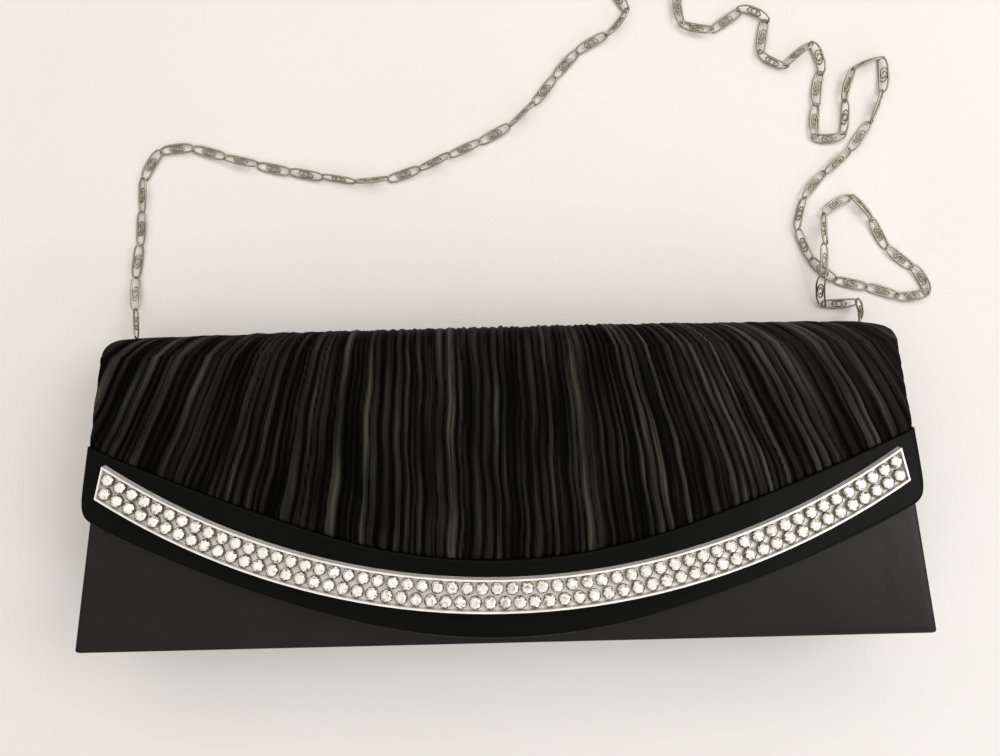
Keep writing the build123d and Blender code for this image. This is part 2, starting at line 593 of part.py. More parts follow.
def make_ring(side):
    """A D-ring in an upright plane, its straight bar inside the mouth, and its ribbon tab."""
    y = MOUTH_Y - RING_BEHIND_MOUTH
    place = Pos(side * RING_X, y, RING_Z)
    bar = Cylinder(RING_WIRE, 2 * RING_RADIUS)
    bend = Plane.YZ * CenterArc((0, 0), RING_RADIUS, -90, 180)
    bend = sweep(Plane(origin=bend @ 0, z_dir=bend % 0) * Circle(RING_WIRE), path=bend)
    ends = Pos(0, 0, RING_RADIUS) * Sphere(RING_WIRE) + Pos(0, 0, -RING_RADIUS) * Sphere(RING_WIRE)
    ring = place * (bar + bend + ends)

    hole = RING_WIRE + TAB_CLEARANCE
    outer = hole + TAB_THICKNESS
    loop = Cylinder(outer, TAB_WIDTH)
    tails = Pos(0, -TAB_LENGTH / 2, 0) * Box(2 * TAB_THICKNESS, TAB_LENGTH, TAB_WIDTH)
    tab = place * (loop + tails - Cylinder(hole, TAB_WIDTH + 1))
    return ring, tab


def placed(point):
    """A point of the chain, moved with the ring and the top strip it hangs from."""
    x, y, z = point
    return x * RING_X / ROUTE_RING_X, y + TOP_Y - ROUTE_TOP_Y, z


def route_radii(route):
    """The radius at each corner of a route: 0.45 of its shorter run over tan(half the turn)."""
    points = [Vector(*p) for p in route]
    radii = []
    for before, corner, after in zip(points, points[1:], points[2:]):
        inward, outward = corner - before, after - corner
        turn = math.radians(inward.get_angle(outward))
        radii.append(0.45 * min(inward.length, outward.length) / math.tan(turn / 2))
    return radii


def make_tube(name, route):
    """A plain tube along a route of straight runs and tangent arcs."""
    route = [placed(point) for point in route]
    radii = route_radii(route)
    path = FilletPolyline(*route, radius=radii)
    profile = Plane(origin=path @ 0, z_dir=path % 0) * Circle(CHAIN / 2)
    tube = sweep(profile, path=path)
    expected = math.pi * (CHAIN / 2) ** 2 * path.length
    print(name, "length", round(path.length, 1), "radii", [round(r, 1) for r in radii])
    print(name, "volume over section times length", round(tube.volume / expected, 4))
    return tube


def make_coil():
    """The outer shape of the coiled stretch: a plain ring, two turns wide and two high."""
    wide = CHAIN + COIL_SLACK
    ring = Circle(COIL_RADIUS + wide) - Circle(COIL_RADIUS - wide)
    return Pos(*placed(COIL_CENTRE)) * extrude(ring, COIL_LAYERS * CHAIN + COIL_SLACK)


def main():
    os.makedirs("parts", exist_ok=True)
    parts = {**make_case(), **make_snap(), **make_strip(), **make_flap(), **make_bar()}
    for side, word in ((-1, "left"), (1, "right")):
        ring, tab = make_ring(side)
        parts[word + "_ring"] = ring
        parts[word + "_ring_tab"] = tab
    parts["chain_left"] = make_tube("chain_left", LEFT_ROUTE)
    parts["chain_coil"] = make_coil()
    parts["chain_right"] = make_tube("chain_right", RIGHT_ROUTE)
    for name, shape in parts.items():
        export_step(shape, f"parts/{name}.step")
    print(len(parts), "parts; fold axis z", round(FOLD_Z, 2), "mouth y", round(MOUTH_Y, 2))


main()
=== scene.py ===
"""Evening bag on a pale table: looks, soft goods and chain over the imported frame."""
import json
import math

import bmesh
import bpy
import numpy as np
from mathutils import Euler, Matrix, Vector


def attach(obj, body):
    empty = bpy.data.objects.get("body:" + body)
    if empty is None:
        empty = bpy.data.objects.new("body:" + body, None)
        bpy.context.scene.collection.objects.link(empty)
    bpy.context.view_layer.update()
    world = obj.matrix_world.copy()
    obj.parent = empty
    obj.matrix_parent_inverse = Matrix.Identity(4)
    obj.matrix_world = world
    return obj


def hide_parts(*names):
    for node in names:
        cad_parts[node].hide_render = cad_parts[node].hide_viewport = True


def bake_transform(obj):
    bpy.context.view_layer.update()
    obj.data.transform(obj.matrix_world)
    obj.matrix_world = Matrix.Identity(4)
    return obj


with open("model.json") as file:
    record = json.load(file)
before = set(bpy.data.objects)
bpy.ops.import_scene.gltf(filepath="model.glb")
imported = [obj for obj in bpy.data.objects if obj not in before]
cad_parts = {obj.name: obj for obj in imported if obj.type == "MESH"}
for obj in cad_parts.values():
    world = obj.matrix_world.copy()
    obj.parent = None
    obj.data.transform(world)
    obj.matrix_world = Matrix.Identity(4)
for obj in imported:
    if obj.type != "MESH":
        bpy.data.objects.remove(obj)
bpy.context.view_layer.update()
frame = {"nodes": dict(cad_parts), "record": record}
MM = 0.001
rng = np.random.default_rng(11)

# ---- The bag's own shape, in millimetres -----------------------------------------------------
BOTTOM, TOP, MOUTH = -47.5, 47.5, 43.4  # y of the bottom face, the strip's outside and the mouth
HEIGHT = TOP - BOTTOM
PANEL = MOUTH - BOTTOM  # length of the case's panels
DEPTH = 42  # back to front at the bottom edge
SLOPE = 19 / 90.9  # how fast the front face drops towards the mouth
HALF_BOTTOM = 131.2  # half the case's width at the bottom edge
SIDE_TAPER = 7.5  # what each side leans in by, from the bottom edge to the mouth
CROWN = 7.5  # bulge of the flap at the bottom edge; nothing at the fold
SECTION = 133.2  # half width at which the crown would reach zero
FOLD_Z = DEPTH - SLOPE * HEIGHT + 4.3  # outside of the flap at its fold
ROLL = 8.0  # radius of the roll between strip and flap
STRIP_HALF = 118.4  # half the strip's width, over its cloth


def front_height(y):
    """Height of the case's front face, without its bulge."""
    return DEPTH - SLOPE * (y - BOTTOM)


def flap_z(x, y, height):
    """Height of a layer that lies this far over the flap's inside face."""
    return front_height(y) + height + CROWN * (TOP - y) / HEIGHT * (1 - (x / SECTION) ** 2)


def flap_normal(x, y):
    """Unit normals of the flap's crowned face."""
    nx = 2 * x / SECTION**2 * CROWN * (TOP - y) / HEIGHT
    ny = SLOPE + CROWN / HEIGHT * (1 - (x / SECTION) ** 2)
    n = np.stack([nx, ny, np.ones_like(nx)], -1)
    return n / np.linalg.norm(n, axis=-1, keepdims=True)


def case_half(y):
    """Half the case's width."""
    return HALF_BOTTOM - SIDE_TAPER * (y - BOTTOM) / PANEL


def flap_half(y):
    """Half the flap's width."""
    return 129.9 - 4.9 * (y - BOTTOM - 39.5) / 55.5


def arch_y(x, low, radius, middle, outer):
    """Height in plan of a shallow arch at a place across it."""
    x = np.abs(x)
    turn = math.asin(middle / radius)
    mid_y = low + radius * (1 - math.cos(turn))
    inner = low + radius - np.sqrt(np.maximum(radius**2 - x**2, 1))
    sine = np.clip(math.sin(turn) + (x - middle) / outer, -1, 0.999)
    return BOTTOM + np.where(x < middle, inner, mid_y + outer * (math.cos(turn) - np.sqrt(1 - sine**2)))


def seam_y(x):
    """Where the pleats meet the plain band."""
    return arch_y(x, 26.8, 185.0, 55.0, 800.0)


def edge_y(x):
    """The flap's curved lower edge."""
    return arch_y(x, 5.2, 190.0, 45.0, 450.0)


def smooth(t):
    """Eases from 0 at t 0 to 1 at t 1."""
    t = np.clip(t, 0, 1)
    return t * t * (3 - 2 * t)


# ---- Mesh helpers ----------------------------------------------------------------------------
def mesh_object(name, verts, faces, uv=None, shade=True):
    """A mesh object from points in millimetres."""
    mesh = bpy.data.meshes.new(name)
    mesh.from_pydata((np.asarray(verts) * MM).tolist(), [], faces)
    if uv is not None:
        layer = mesh.uv_layers.new(name="UVMap")
        index = np.empty(len(mesh.loops), int)
        mesh.loops.foreach_get("vertex_index", index)
        layer.data.foreach_set("uv", np.asarray(uv, float)[index].ravel())
    mesh.validate()
    if shade:
        mesh.shade_smooth()
    obj = bpy.data.objects.new(name, mesh)
    bpy.context.scene.collection.objects.link(obj)
    return obj


def grid_faces(rows, cols, start=0, wrap=False, flip=False):
    """Quads between the points of a grid, closed round its columns if it wraps."""
    faces = []
    for i in range(rows - 1):
        for j in range(cols if wrap else cols - 1):
            k = (j + 1) % cols
            a, b = start + i * cols + j, start + i * cols + k
            c, d = start + (i + 1) * cols + k, start + (i + 1) * cols + j
            faces.append((a, d, c, b) if flip else (a, b, c, d))
    return faces


def face_outwards(obj):
    """Turns every face of a closed mesh outwards."""
    work = bmesh.new()
    work.from_mesh(obj.data)
    bmesh.ops.recalc_face_normals(work, faces=work.faces)
    work.to_mesh(obj.data)
    work.free()


def shell(name, outer, inner, uv=None, wrap=False):
    """A closed thin skin between two grids of points with the same rows and columns."""
    rows, cols = outer.shape[:2]
    count = rows * cols
    verts = np.concatenate([outer.reshape(-1, 3), inner.reshape(-1, 3)])
    faces = grid_faces(rows, cols, 0, wrap) + grid_faces(rows, cols, count, wrap, True)
    for i in (0, rows - 1):
        for j in range(cols if wrap else cols - 1):
            k = (j + 1) % cols
            a, b = i * cols + j, i * cols + k
            faces.append((b, a, a + count, b + count) if i == 0 else (a, b, b + count, a + count))
    if not wrap:
        for j in (0, cols - 1):
            for i in range(rows - 1):
                a, b = i * cols + j, (i + 1) * cols + j
                faces.append((a, b, b + count, a + count) if j == 0 else (b, a, a + count, b + count))
    if uv is not None:
        uv = np.concatenate([uv.reshape(-1, 2), uv.reshape(-1, 2)])
    obj = mesh_object(name, verts, faces, uv)
    face_outwards(obj)
    return obj


def along_path(path, at):
    """Points along a path of straight pieces, at these distances; all its length if at is a count."""
    length = np.concatenate([[0], np.cumsum(np.linalg.norm(np.diff(path, axis=0), axis=1))])
    if isinstance(at, int):
        at = np.linspace(0, length[-1], at)
    return np.stack([np.interp(at, length, path[:, i]) for i in range(path.shape[1])], -1), length[-1]


def grid_normals(points, wrap=False):
    """Unit normals of a grid, rows by columns."""
    along = np.gradient(points, axis=0)
    if wrap:
        across = (np.roll(points, -1, 1) - np.roll(points, 1, 1)) / 2
    else:
        across = np.gradient(points, axis=1)
    n = np.cross(across, along)
    return n / np.maximum(np.linalg.norm(n, axis=-1, keepdims=True), 1e-9)


def tube(points, radius, sides=6, closed=False):
    """Vertices and faces of a round wire along a list of points."""
    points = np.asarray(points, float)
    count = len(points)
    if closed:
        tangent = np.roll(points, -1, 0) - np.roll(points, 1, 0)
    else:
        tangent = np.gradient(points, axis=0)
    tangent /= np.linalg.norm(tangent, axis=1, keepdims=True)
    up = np.array([0.0, 0.0, 1.0])
    side = np.cross(tangent, up)
    side /= np.maximum(np.linalg.norm(side, axis=1, keepdims=True), 1e-9)
    lift = np.cross(side, tangent)
    turn = np.linspace(0, 2 * math.pi, sides, endpoint=False)
    turn = turn[None, :, None]
    ring = radius * (side[:, None] * np.cos(turn) + lift[:, None] * np.sin(turn))
    verts = (points[:, None] + ring).reshape(-1, 3)
    faces = []
    for i in range(count if closed else count - 1):
        m = (i + 1) % count
        for j in range(sides):
            k = (j + 1) % sides
            faces.append((i * sides + j, i * sides + k, m * sides + k, m * sides + j))
    if not closed:
        faces.append(tuple(range(sides))[::-1])
        faces.append(tuple((count - 1) * sides + j for j in range(sides)))
    return verts, faces


def join(parts):
    """One list of vertices and one of faces from several."""
    verts, faces, start = [], [], 0
    for v, f in parts:
        verts.append(v)
        faces += [tuple(i + start for i in face) for face in f]
        start += len(v)
    return np.concatenate(verts), faces


# ---- Materials -------------------------------------------------------------------------------
class Mat:
    """A small helper for one node material."""

    def __init__(self, name, color, rough, metallic=0.0, **sockets):
        self.mat = bpy.data.materials.new(name)
        self.mat.use_nodes = True
        self.nodes, self.links = self.mat.node_tree.nodes, self.mat.node_tree.links
        self.bsdf = self.nodes["Principled BSDF"]
        self.bsdf.inputs["Base Color"].default_value = (*color, 1)
        self.bsdf.inputs["Roughness"].default_value = rough
        self.bsdf.inputs["Metallic"].default_value = metallic
        for key, value in sockets.items():
            self.bsdf.inputs[key.replace("_", " ")].default_value = value
        self.normal = None

    def node(self, kind, **values):
        made = self.nodes.new(kind)
        for key, value in values.items():
            if key in made.inputs:
                made.inputs[key].default_value = value
            else:
                setattr(made, key, value)
        return made

    def coords(self, scale=(1, 1, 1), uv=False):
        source = self.node("ShaderNodeTexCoord")
        mapping = self.node("ShaderNodeMapping")
        mapping.inputs["Scale"].default_value = scale
        self.links.new(source.outputs["UV" if uv else "Object"], mapping.inputs["Vector"])
        return mapping.outputs["Vector"]

    def noise(self, vector, scale, detail=4.0, rough=0.6):
        made = self.node("ShaderNodeTexNoise", Scale=scale, Detail=detail, Roughness=rough)
        self.links.new(vector, made.inputs["Vector"])
        return made.outputs["Fac"]

    def wave(self, vector, scale, direction="X", distortion=0.0):
        made = self.node("ShaderNodeTexWave", Scale=scale, Distortion=distortion)
        made.bands_direction = direction
        self.links.new(vector, made.inputs["Vector"])
        return made.outputs["Fac"]

    def ramp(self, value, stops):
        made = self.node("ShaderNodeValToRGB")
        while len(made.color_ramp.elements) < len(stops):
            made.color_ramp.elements.new(0.5)
        for element, (at, color) in zip(made.color_ramp.elements, stops):
            element.position = at
            element.color = (*color, 1) if len(color) == 3 else color
        self.links.new(value, made.inputs["Fac"])
        return made.outputs["Color"]

    def math(self, kind, a, b):
        made = self.node("ShaderNodeMath")
        made.operation = kind
        for index, value in enumerate((a, b)):
            if isinstance(value, (int, float)):
                made.inputs[index].default_value = value
            else:
                self.links.new(value, made.inputs[index])
        return made.outputs[0]

    def color(self, output):
        self.links.new(output, self.bsdf.inputs["Base Color"])

    def rough(self, value, low, high):
        made = self.node("ShaderNodeMapRange")
        made.inputs["To Min"].default_value = low
        made.inputs["To Max"].default_value = high
        self.links.new(value, made.inputs["Value"])
        self.links.new(made.outputs["Result"], self.bsdf.inputs["Roughness"])

    def bump(self, value, distance, strength=1.0):
        made = self.node("ShaderNodeBump", Strength=strength, Distance=distance)
        self.links.new(value, made.inputs["Height"])
        if self.normal is not None:
            self.links.new(self.normal, made.inputs["Normal"])
        self.normal = made.outputs["Normal"]
        self.links.new(self.normal, self.bsdf.inputs["Normal"])


def satin(name, dark, light, rough=0.46, sheen=0.05, gloss=0.16, twill=2600.0, pleats=False):
    """Black satin: a fine twill, a soft sheen and slow changes of tone; with pleats, painted highlights on
    the pleat ridges.
    """
    m = Mat(name, dark, rough)
    m.bsdf.inputs["Specular IOR Level"].default_value = gloss
    m.bsdf.inputs["Sheen Weight"].default_value = sheen
    m.bsdf.inputs["Sheen Roughness"].default_value = 0.4
    m.bsdf.inputs["Sheen Tint"].default_value = (0.93, 0.95, 1.0, 1)
    place = m.coords()
    slow = m.noise(place, 22.0, 3.0)
    grain = m.noise(place, twill, 2.0)
    weave = m.wave(m.coords(), twill / 20, "DIAGONAL", 0.6)
    if pleats:
        # With pleats the base colour is painted light: the pleat ridges and fine lines along them get a
        # painted highlight from the "rise" attribute, over the satin's near-black valleys.
        ridge_highlight = m.node("ShaderNodeAttribute")
        ridge_highlight.attribute_name = "rise"
        line = m.noise(m.coords((520, 2.4, 1), uv=True), 1.0, 5.0, 0.7)
        broad = m.noise(m.coords((95, 1.1, 1), uv=True), 1.0, 3.0, 0.6)
        streak_highlights = m.math("MULTIPLY", m.math("ADD", line, broad), 0.5)
        contrast = m.math("ADD", m.math("MULTIPLY", streak_highlights, 3.4), -1.02)
        value = m.math("MULTIPLY", ridge_highlight.outputs["Fac"], contrast)
        value = m.math("ADD", value, m.math("MULTIPLY", m.math("SUBTRACT", grain, 0.5), 0.25))
        m.color(m.ramp(value, [(0.12, dark), (0.42, tuple(c * 0.3 for c in light)), (0.8, light)]))
        m.bump(line, 0.00022, 0.5)
    else:
        mixed = m.math("ADD", m.math("MULTIPLY", slow, 0.7), m.math("MULTIPLY", grain, 0.3))
        m.color(m.ramp(mixed, [(0.35, dark), (0.7, light)]))
    m.rough(m.noise(place, 60.0, 4.0), rough - 0.06, rough + 0.08)
    m.bump(m.math("ADD", m.math("MULTIPLY", weave, 0.08), m.math("MULTIPLY", grain, 0.6)), 0.00006, 0.5)
    return m.mat


def metal(name, color, rough, metallic, brush=0.0, dents=0.0):
    """Metal with slow wear, and fine brushing or small dents."""
    m = Mat(name, color, rough, metallic)
    place = m.coords()
    worn = m.noise(place, 240.0, 5.0)
    darker = tuple(c * 0.82 for c in color)
    m.color(m.ramp(worn, [(0.3, darker), (0.62, color)]))
    m.rough(m.noise(place, 900.0, 3.0), rough * 0.75, rough * 1.3)
    if brush:
        m.bump(m.noise(m.coords((1, 14, 14)), 900.0, 3.0), brush, 0.5)
    if dents:
        m.bump(m.noise(place, 300.0, 2.0), dents, 0.5)
    return m.mat


def plain(name, color, light, rough, scale, bump):
    """A dull material with a grain of one scale."""
    m = Mat(name, color, rough)
    place = m.coords()
    m.color(m.ramp(m.noise(place, scale, 5.0), [(0.3, color), (0.7, light)]))
    m.rough(m.noise(place, scale * 2, 3.0), rough - 0.06, rough + 0.06)
    m.bump(m.noise(place, scale * 6, 4.0), bump, 0.6)
    return m.mat


# The pleated satin's light colour is the painted highlight colour of its pleat ridges.
PLEATED = satin(
    "pleated_satin", (0.0005, 0.0005, 0.0004), (0.064, 0.058, 0.047), 0.5, 0.0, 0.022, pleats=True
)
SATIN = satin("plain_satin", (0.003, 0.0028, 0.0024), (0.0075, 0.007, 0.006), 0.36, 0.015, 0.24)
BAND_SATIN = satin("band_satin", (0.0008, 0.0008, 0.0008), (0.0022, 0.0022, 0.002), 0.34, 0.0, 0.07)
LINING = satin("lining_cloth", (0.010, 0.0095, 0.010), (0.02, 0.0195, 0.02), 0.6, 0.15, 0.3)
RIBBON = plain("grosgrain", (0.012, 0.012, 0.012), (0.022, 0.021, 0.02), 0.7, 900.0, 0.0001)
THREAD = plain("thread", (0.012, 0.0115, 0.011), (0.03, 0.028, 0.026), 0.6, 1500.0, 0.0001)
CARD = plain("grey_board", (0.24, 0.20, 0.15), (0.36, 0.31, 0.24), 0.85, 260.0, 0.00008)
FOAM = plain("foam", (0.62, 0.60, 0.54), (0.74, 0.72, 0.66), 0.9, 700.0, 0.0003)
SILVER = metal("plated_bar", (0.97, 0.94, 0.885), 0.38, 0.35, brush=0.00001)
CUPS = metal("cup_metal", (0.24, 0.205, 0.15), 0.24, 0.9, dents=0.00002)
CHAIN = metal("chain_metal", (0.38, 0.345, 0.275), 0.2, 1.0, dents=0.00003)
SNAP = metal("snap_metal", (0.72, 0.71, 0.69), 0.22, 1.0, dents=0.00002)
MAGNET = plain("magnet", (0.05, 0.05, 0.052), (0.08, 0.08, 0.08), 0.45, 600.0, 0.00003)


def crystal():
    """Foil-backed cut crystal: each facet's reflection is painted into its colour, dark to bright, from a
    face value.
    """
    m = Mat("crystal", (0.9, 0.9, 0.9), 0.08, 0.35, Coat_Weight=0.6, Coat_Roughness=0.02)
    shade = m.node("ShaderNodeAttribute")
    shade.attribute_name = "facet"
    # Painted reflections: dark facets are painted shade, bright facets painted highlights.
    stops = [
        (0.0, (0.05, 0.04, 0.025)), (0.3, (0.36, 0.31, 0.22)),
        (0.6, (0.84, 0.80, 0.70)), (1.0, (1, 0.985, 0.95)),
    ]
    m.color(m.ramp(shade.outputs["Fac"], stops))
    m.rough(m.noise(m.coords(), 700.0, 2.0), 0.05, 0.12)
    return m.mat


CRYSTAL = crystal()


def give(obj, material, body, *nodes, slot=None):
    """Puts a material on a piece and says what it rides on and replaces; slot is not used."""
    obj.data.materials.clear()
    obj.data.materials.append(material)
    if body:
        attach(obj, body)
    if nodes:
        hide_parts(*nodes)
    return obj


# ---- Camera and chain come first ---------------------------------------------------------------
def make_camera():
    """A camera nearly straight over the bag, a little below its middle."""
    data = bpy.data.cameras.new("camera")
    data.sensor_width = 36.0
    data.lens = 31.639
    data.clip_start = 0.01
    camera = bpy.data.objects.new("camera", data)
    camera.location = Vector((-0.27, 51.68, 302.26)) * MM
    camera.rotation_euler = Euler((-0.0701, -0.0028, -0.0235), "XYZ")
    bpy.context.scene.collection.objects.link(camera)
    bpy.context.scene.camera = camera


LEFT_ROUTE = [
    (-120.3, 47.4, 9.5), (-121.8, 53, 6), (-123.4, 59.5, 2.6), (-123, 67, 1.8), (-121.4, 76.6, 1.8),
    (-119.8, 88, 1.8), (-119.2, 98, 1.8), (-117.4, 105.5, 1.8), (-112.5, 110.5, 1.8), (-104, 111.6, 1.8),
    (-90, 107, 1.8), (-72, 102.3, 1.8), (-54, 99.2, 1.8), (-40, 97.6, 1.8), (-28, 100.8, 1.8),
    (-14, 106.8, 1.8), (1, 112.6, 1.8), (12, 120.5, 1.8), (20, 130, 1.8), (26.5, 138.5, 1.8),
    (35.5, 143.8, 1.8), (44, 147, 1.8), (46, 153.5, 1.8), (40, 160.5, 1.8), (33, 169, 1.8),
]
RIGHT_ROUTE = [
    (72.6, 171, 4.4), (67.5, 163.5, 2.4), (61.5, 157.8, 1.8), (60.8, 150.5, 1.8), (66, 145.2, 1.8),
    (74.5, 145, 1.8), (80.8, 150.2, 1.8), (86.2, 153.4, 1.8), (90.8, 151.8, 1.8), (91.6, 146.6, 1.8),
    (89.4, 140.5, 1.8), (90.2, 134.8, 1.8), (94.6, 131.8, 1.8), (99.4, 134, 1.8), (102.4, 139, 1.8),
    (107.5, 140.2, 1.8), (111.6, 136.4, 1.8), (110.2, 130.6, 1.8), (107.4, 126, 1.8), (109.5, 120.8, 1.8),
    (107, 115.6, 1.8), (107.6, 109.8, 1.8), (112, 106.2, 1.8), (116.8, 108.8, 1.8), (119.2, 114.4, 1.8),
    (118, 121.5, 1.8), (117.8, 128.5, 1.8), (122.6, 133.6, 1.8), (128.4, 136.2, 1.8), (132.8, 132.6, 1.8),
    (131.6, 126.4, 1.8), (129.2, 118.8, 1.8), (125.4, 112, 1.8), (119.2, 103.2, 1.8), (109.5, 96.5, 1.8),
    (103.2, 88.5, 1.8), (101.4, 78.5, 1.8), (105.4, 70, 1.8), (112.6, 62, 1.8), (121.6, 59.6, 1.8),
    (132, 57.6, 1.8), (140, 53.8, 1.8), (144.6, 54.2, 1.8), (148, 57.8, 1.8), (146.4, 62.4, 1.8),
    (141, 65.4, 1.8), (134.4, 70, 1.8), (129, 77, 1.8), (126.4, 85.6, 1.8), (120.6, 90, 1.8),
    (113.4, 87.8, 1.8), (109.6, 80.5, 2.6), (110.4, 72, 6.1), (109.8, 62.6, 6.1), (107.2, 57, 3.2),
    (110.6, 53, 1.8), (115.8, 52.4, 1.8), (121.6, 54.8, 2.4), (125.2, 50.2, 5.6), (120.3, 47.2, 9.2),
]


def coil_points():
    """Clockwise turns, two wide and two high, as control points of the chain's spline."""
    points = []
    start, total, steps = 190.4, 1280.8, 52
    for index in range(steps + 1):
        turns = index / steps * total / 360
        inward = smooth((turns - 0.9) / 0.3) - smooth((turns - 2.5) / 0.3)
        rise = smooth((turns - 1.7) / 0.3)
        angle = math.radians(start - turns * 360)
        radius = 22.0 - 3.7 * inward
        points.append((52 + radius * math.cos(angle), 184 + radius * math.sin(angle), 1.8 + 3.7 * rise))
    return points


def spline_points(points):
    """Close points along the NURBS curve that has these points as its control points."""
    curve = bpy.data.curves.new("route", "CURVE")
    curve.dimensions = "3D"
    curve.resolution_u = 16
    spline = curve.splines.new("NURBS")
    spline.points.add(len(points) - 1)
    for point, (x, y, z) in zip(spline.points, points):
        point.co = (x * MM, y * MM, z * MM, 1)
    spline.order_u = 3
    spline.use_endpoint_u = True
    obj = bpy.data.objects.new("route", curve)
    bpy.context.scene.collection.objects.link(obj)
    bpy.context.view_layer.update()
    mesh = bpy.data.meshes.new_from_object(obj)
    found = np.array([v.co for v in mesh.vertices]) / MM
    bpy.data.objects.remove(obj)
    bpy.data.curves.remove(curve)
    bpy.data.meshes.remove(mesh)
    return found


LINK, LINK_PITCH, LINK_HALF, LINK_WIRE = 12.0, 11.2, 1.75, 0.33


def link_shape():
    """One scroll link, lying flat from x 0: an oblong ring of wire round two arms that curl inwards."""
    length, half, wire = LINK, LINK_HALF, LINK_WIRE
    side = half - wire
    ring = []
    for turn in np.linspace(0, 2 * math.pi, 26, endpoint=False):
        c, n = math.cos(turn), math.sin(turn)
        x = (length / 2 - wire) * math.copysign(abs(c) ** 0.55, c)
        ring.append((length / 2 + x, side * math.copysign(abs(n) ** 0.65, n), 0))
    parts = [tube(ring, wire, 6, True)]
    for sign in (1, -1):
        arm = []
        for turn in np.linspace(0, 1, 15):
            angle = math.radians(90 + 330 * turn)
            size = 1 - 0.74 * turn
            x, y = 2.9 * size * math.cos(angle), side * size * math.sin(angle)
            arm.append((length / 2 + sign * x, sign * y, 0.12 * sign * turn))
        parts.append(tube(arm, 0.27, 5))
    return join(parts)


def make_chain():
    """The whole chain, from ring to ring, as links along one smooth line."""
    route = spline_points(LEFT_ROUTE + coil_points() + RIGHT_ROUTE)
    step = np.linalg.norm(np.diff(route, axis=0), axis=1)
    along = np.concatenate([[0], np.cumsum(step)])
    total = along[-1]
    count = round(total / LINK_PITCH)
    pitch = total / count

    def at(s):
        return np.stack([np.interp(s, along, route[:, i]) for i in range(3)], -1)

    shape, faces = link_shape()
    parts = []
    for index in range(count):
        begin, end = at(index * pitch), at((index + 1) * pitch)
        middle = at((index + 0.5) * pitch)
        chord = end - begin
        flat = np.linalg.norm(chord)
        direction = chord / max(flat, 1e-6)
        side = np.cross([0, 0, 1.0], direction)
        side /= max(np.linalg.norm(side), 1e-6)
        lift = np.cross(direction, side)
        roll = rng.normal(0, 0.32)
        if rng.random() < 0.16:
            roll = rng.choice([-1, 1]) * rng.uniform(0.9, 1.4)
        if index in (0, count - 1):
            roll = math.pi / 2
        across = side * math.cos(roll) + lift * math.sin(roll)
        out = -side * math.sin(roll) + lift * math.cos(roll)
        reach = 1.8 * abs(math.sin(roll)) + 0.4 * abs(math.cos(roll))
        drop = max(1.8 - reach, 0) * (0.9 if index not in (0, count - 1) else 0.2)
        share = (shape[:, 0] - (LINK - LINK_PITCH) / 2) / LINK_PITCH
        centre = begin + direction * (share[:, None] * LINK_PITCH + (flat - LINK_PITCH) / 2)
        bow = (middle - (begin + end) / 2) * 0.42
        centre = centre + bow * (4 * share * (1 - share))[:, None].clip(0)
        tilt = (share - 0.5) * 0.62 + 0.1
        points = centre + across * shape[:, 1:2] + out * (shape[:, 2:3] + tilt[:, None])
        points[:, 2] = np.maximum(points[:, 2] - drop, 0.03)
        parts.append((points, faces))
    verts, faces = join(parts)
    chain = mesh_object("chain", verts, faces)
    give(chain, CHAIN, "case", "chain_left", "chain_coil", "chain_right", slot="chain_metal")


# ---- Flap --------------------------------------------------------------------------------------
def pleat_field():
    """Edges, heights and leans of irregular pleats, counted across the cloth."""
    widths = rng.uniform(1.7, 4.3, 110)
    edges = -165 + np.concatenate([[0], np.cumsum(widths)])
    return edges, rng.uniform(0.5, 1.0, 110), rng.uniform(0.6, 1.7, 110), rng.uniform(0, 1, 110)


PLEATS = pleat_field()
# Painted highlight strength for each pleat, drawn at random.
PLEAT_HIGHLIGHT_LEVELS = np.random.default_rng(21).choice([0.3, 0.6, 0.95, 1.3], 110, p=[0.28, 0.32, 0.26, 0.14])


def pleat_line(x, y, up):
    """The number of a pleat line through a point, as its place across the lower edge of the cloth."""
    line = x.copy()
    for _ in range(12):
        left = 26 * smooth((-line - 20) / 110) * np.clip(up, 0, 1.2) ** 1.3
        right = -26 * smooth((line + 5) / 120) * np.clip(up, 0, 1.2) ** 1.6
        line = x - left - right
    line = line + 0.35 * np.sin(y / 5.6 + 0.045 * line) + 0.14 * np.sin(y / 2.6 + 0.31 * line)
    return line


def pleat_rise(line, up):
    """How far the pleats stand up, from 0 in a valley to 1."""
    edges, heights, leans, phases = PLEATS
    index = np.clip(np.searchsorted(edges, line) - 1, 0, len(heights) - 1)
    share = (line - edges[index]) / (edges[index + 1] - edges[index])
    share = np.clip(share, 0, 1) ** leans[index]
    rise = (1 - np.abs(2 * share - 1) ** 2.1) ** 0.85 * heights[index]
    rise = rise * (0.82 + 0.18 * np.sin(6.3 * (1.4 * up + phases[index])))
    return rise + 0.09 * np.sin(2 * math.pi * (2.3 * share + phases[index])) * heights[index]


def pleat_highlight_level(line):
    """How brightly each pleat is painted as catching the light, one value for each fold of the cloth."""
    return PLEAT_HIGHLIGHT_LEVELS[np.clip(np.searchsorted(PLEATS[0], line) - 1, 0, len(PLEAT_HIGHLIGHT_LEVELS) - 1)]


def wrapped(columns, radius, drop, tuck):
    """A profile across a piece: flat in the middle, then round its edges, down and under.
    Gives for each column its share across (-1 to 1), its inset from the edge and its depth."""
    bend = np.linspace(0, math.pi / 2, 5)[1:]
    inset = np.concatenate([radius - radius * np.sin(bend), [0, 0.15, tuck * 0.5, tuck]])
    depth = np.concatenate([radius - radius * np.cos(bend), [drop * 0.6, drop * 0.95, drop, drop]])
    middle = np.linspace(-1, 1, columns)
    share = np.concatenate([-np.ones(8), middle, np.ones(8)])
    inset = np.concatenate([inset[::-1], np.full(columns, radius), inset])
    depth = np.concatenate([depth[::-1], np.zeros(columns), depth])
    return share, inset, depth


